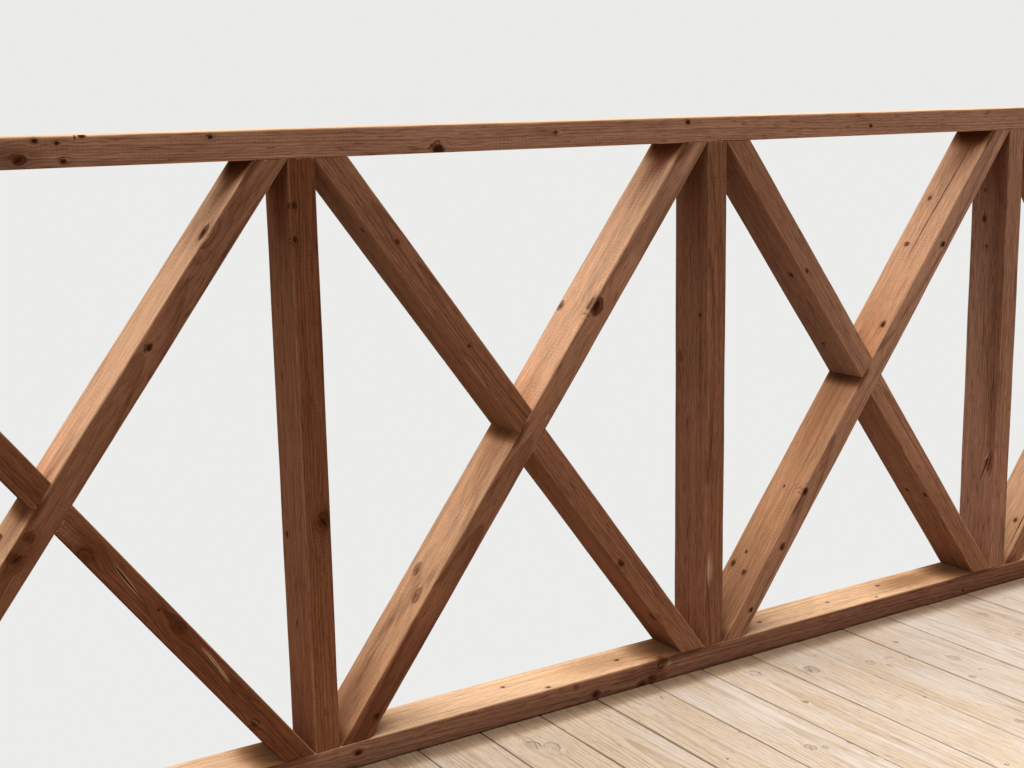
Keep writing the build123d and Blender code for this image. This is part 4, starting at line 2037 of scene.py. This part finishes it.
def studio_floor(settings):
    """A wide pale floor that is seen from above only and throws back little light."""
    mesh = bpy.data.meshes.new("floor")
    sheet = bmesh.new()
    bmesh.ops.create_circle(sheet, cap_ends=True, segments=96, radius=90.0)
    sheet.to_mesh(mesh)
    sheet.free()
    floor = bpy.data.objects.new("floor", mesh)
    bpy.context.scene.collection.objects.link(floor)
    material, wires = new_material("floor")
    surface = wires.node("ShaderNodeBsdfPrincipled")
    surface.inputs["Roughness"].default_value = 1.0
    surface.inputs["Specular IOR Level"].default_value = 0.0
    shown = wires.mix(wires.in_view(), tuple(settings.floor_bounce), tuple(settings.floor))
    wires.feed(surface.inputs["Base Color"], shown)
    clear = wires.node("ShaderNodeBsdfTransparent")
    under = wires.node("ShaderNodeNewGeometry").outputs["Backfacing"]
    wires.show(wires.either(under, surface.outputs["BSDF"], clear.outputs["BSDF"]))
    mesh.materials.append(material)


def studio_world(settings):
    """Dim light from all round, seen as a pale backdrop."""
    world = bpy.data.worlds.new("studio")
    bpy.context.scene.world = world
    world.use_nodes = True
    world.node_tree.nodes.clear()
    wires = Wiring(world.node_tree)
    fill, pale = wires.node("ShaderNodeBackground"), wires.node("ShaderNodeBackground")
    fill.inputs["Color"].default_value = (0.93, 0.96, 1.0, 1.0)
    fill.inputs["Strength"].default_value = settings.fill_strength
    pale.inputs["Color"].default_value = (*settings.backdrop, 1.0)
    wires.show(wires.either(wires.in_view(), fill.outputs[0], pale.outputs[0]), "ShaderNodeOutputWorld")


def studio_light(settings):
    """Broad soft light from overhead, a little from behind the railing."""
    lamp = bpy.data.lights.new("sky", "SUN")
    lamp.energy = settings.sky_strength
    lamp.angle = settings.sky_spread
    sky = bpy.data.objects.new("sky", lamp)
    sky.rotation_mode = "QUATERNION"
    sky.rotation_quaternion = Vector((-0.28, 0.14, 1.0)).to_track_quat("Z", "Y")
    bpy.context.scene.collection.objects.link(sky)


def studio_camera(settings):
    """The camera, turned by its heading, its dip and its roll."""
    heading, dip, roll = settings.camera_heading, settings.camera_dip, settings.camera_roll
    ahead = (math.sin(heading) * math.cos(dip), math.cos(heading) * math.cos(dip), -math.sin(dip))
    forward = Vector(ahead)
    level = Vector((math.cos(heading), -math.sin(heading), 0.0))
    rise = level.cross(forward)
    right = level * math.cos(roll) + rise * math.sin(roll)
    up = rise * math.cos(roll) - level * math.sin(roll)
    camera = bpy.data.objects.new("camera", bpy.data.cameras.new("camera"))
    camera.data.lens = settings.focal_length
    camera.data.sensor_width = 36.0
    camera.data.clip_start = 0.02
    camera.data.clip_end = 300.0
    turn = Matrix((right, up, -forward)).transposed().to_4x4()
    camera.matrix_world = Matrix.Translation(settings.camera_place) @ turn
    bpy.context.scene.collection.objects.link(camera)
    bpy.context.scene.camera = camera


class DECK_OT_studio(bpy.types.Operator):
    """Sets up the floor, the light and the camera"""

    bl_idname = "deck.studio"
    bl_label = "Studio"

    def execute(self, context):
        settings = context.scene.studio
        context.scene.view_settings.view_transform = "Standard"
        studio_floor(settings)
        studio_world(settings)
        studio_light(settings)
        studio_camera(settings)
        return {"FINISHED"}


# Add-on


class DECK_PT_panel(bpy.types.Panel):
    """Lists the deck's settings and the steps that build it"""

    bl_label = "Waterside Deck"
    bl_idname = "DECK_PT_panel"
    bl_space_type = "VIEW_3D"
    bl_region_type = "UI"
    bl_category = "Waterside Deck"

    def draw(self, context):
        layout = self.layout
        for name in SETTINGS:
            settings = getattr(context.scene, name)
            box = layout.box()
            box.label(text=name.title())
            for entry in settings.bl_rna.properties:
                if not entry.is_readonly and entry.identifier != "name":
                    box.prop(settings, entry.identifier)
        for operator in OPERATORS:
            layout.operator(operator.bl_idname)


SETTINGS = {
    "railing": RailingSettings,
    "decking": DeckingSettings,
    "support": SupportSettings,
    "fixings": FixingSettings,
    "studio": StudioSettings,
}
OPERATORS = (
    DECK_OT_studio,
    DECK_OT_posts,
    DECK_OT_long_braces,
    DECK_OT_short_braces,
    DECK_OT_rails,
    DECK_OT_boards,
    DECK_OT_joists,
    DECK_OT_bearers,
    DECK_OT_piles,
    DECK_OT_screws,
    DECK_OT_bolts,
)


def register():
    for group in (*SETTINGS.values(), *OPERATORS, DECK_PT_panel):
        bpy.utils.register_class(group)
    for name, group in SETTINGS.items():
        setattr(bpy.types.Scene, name, PointerProperty(type=group))


def unregister():
    for name in SETTINGS:
        delattr(bpy.types.Scene, name)
    for group in reversed((*SETTINGS.values(), *OPERATORS, DECK_PT_panel)):
        bpy.utils.unregister_class(group)


def main():
    """Builds the deck piece by piece."""
    register()
    bpy.ops.deck.studio()
    bpy.ops.deck.posts()
    bpy.ops.deck.long_braces()
    bpy.ops.deck.short_braces()
    bpy.ops.deck.rails()
    bpy.ops.deck.boards()
    bpy.ops.deck.joists()
    bpy.ops.deck.bearers()
    bpy.ops.deck.piles()
    bpy.ops.deck.screws()
    bpy.ops.deck.bolts()


if __name__ == "__main__":
    main()
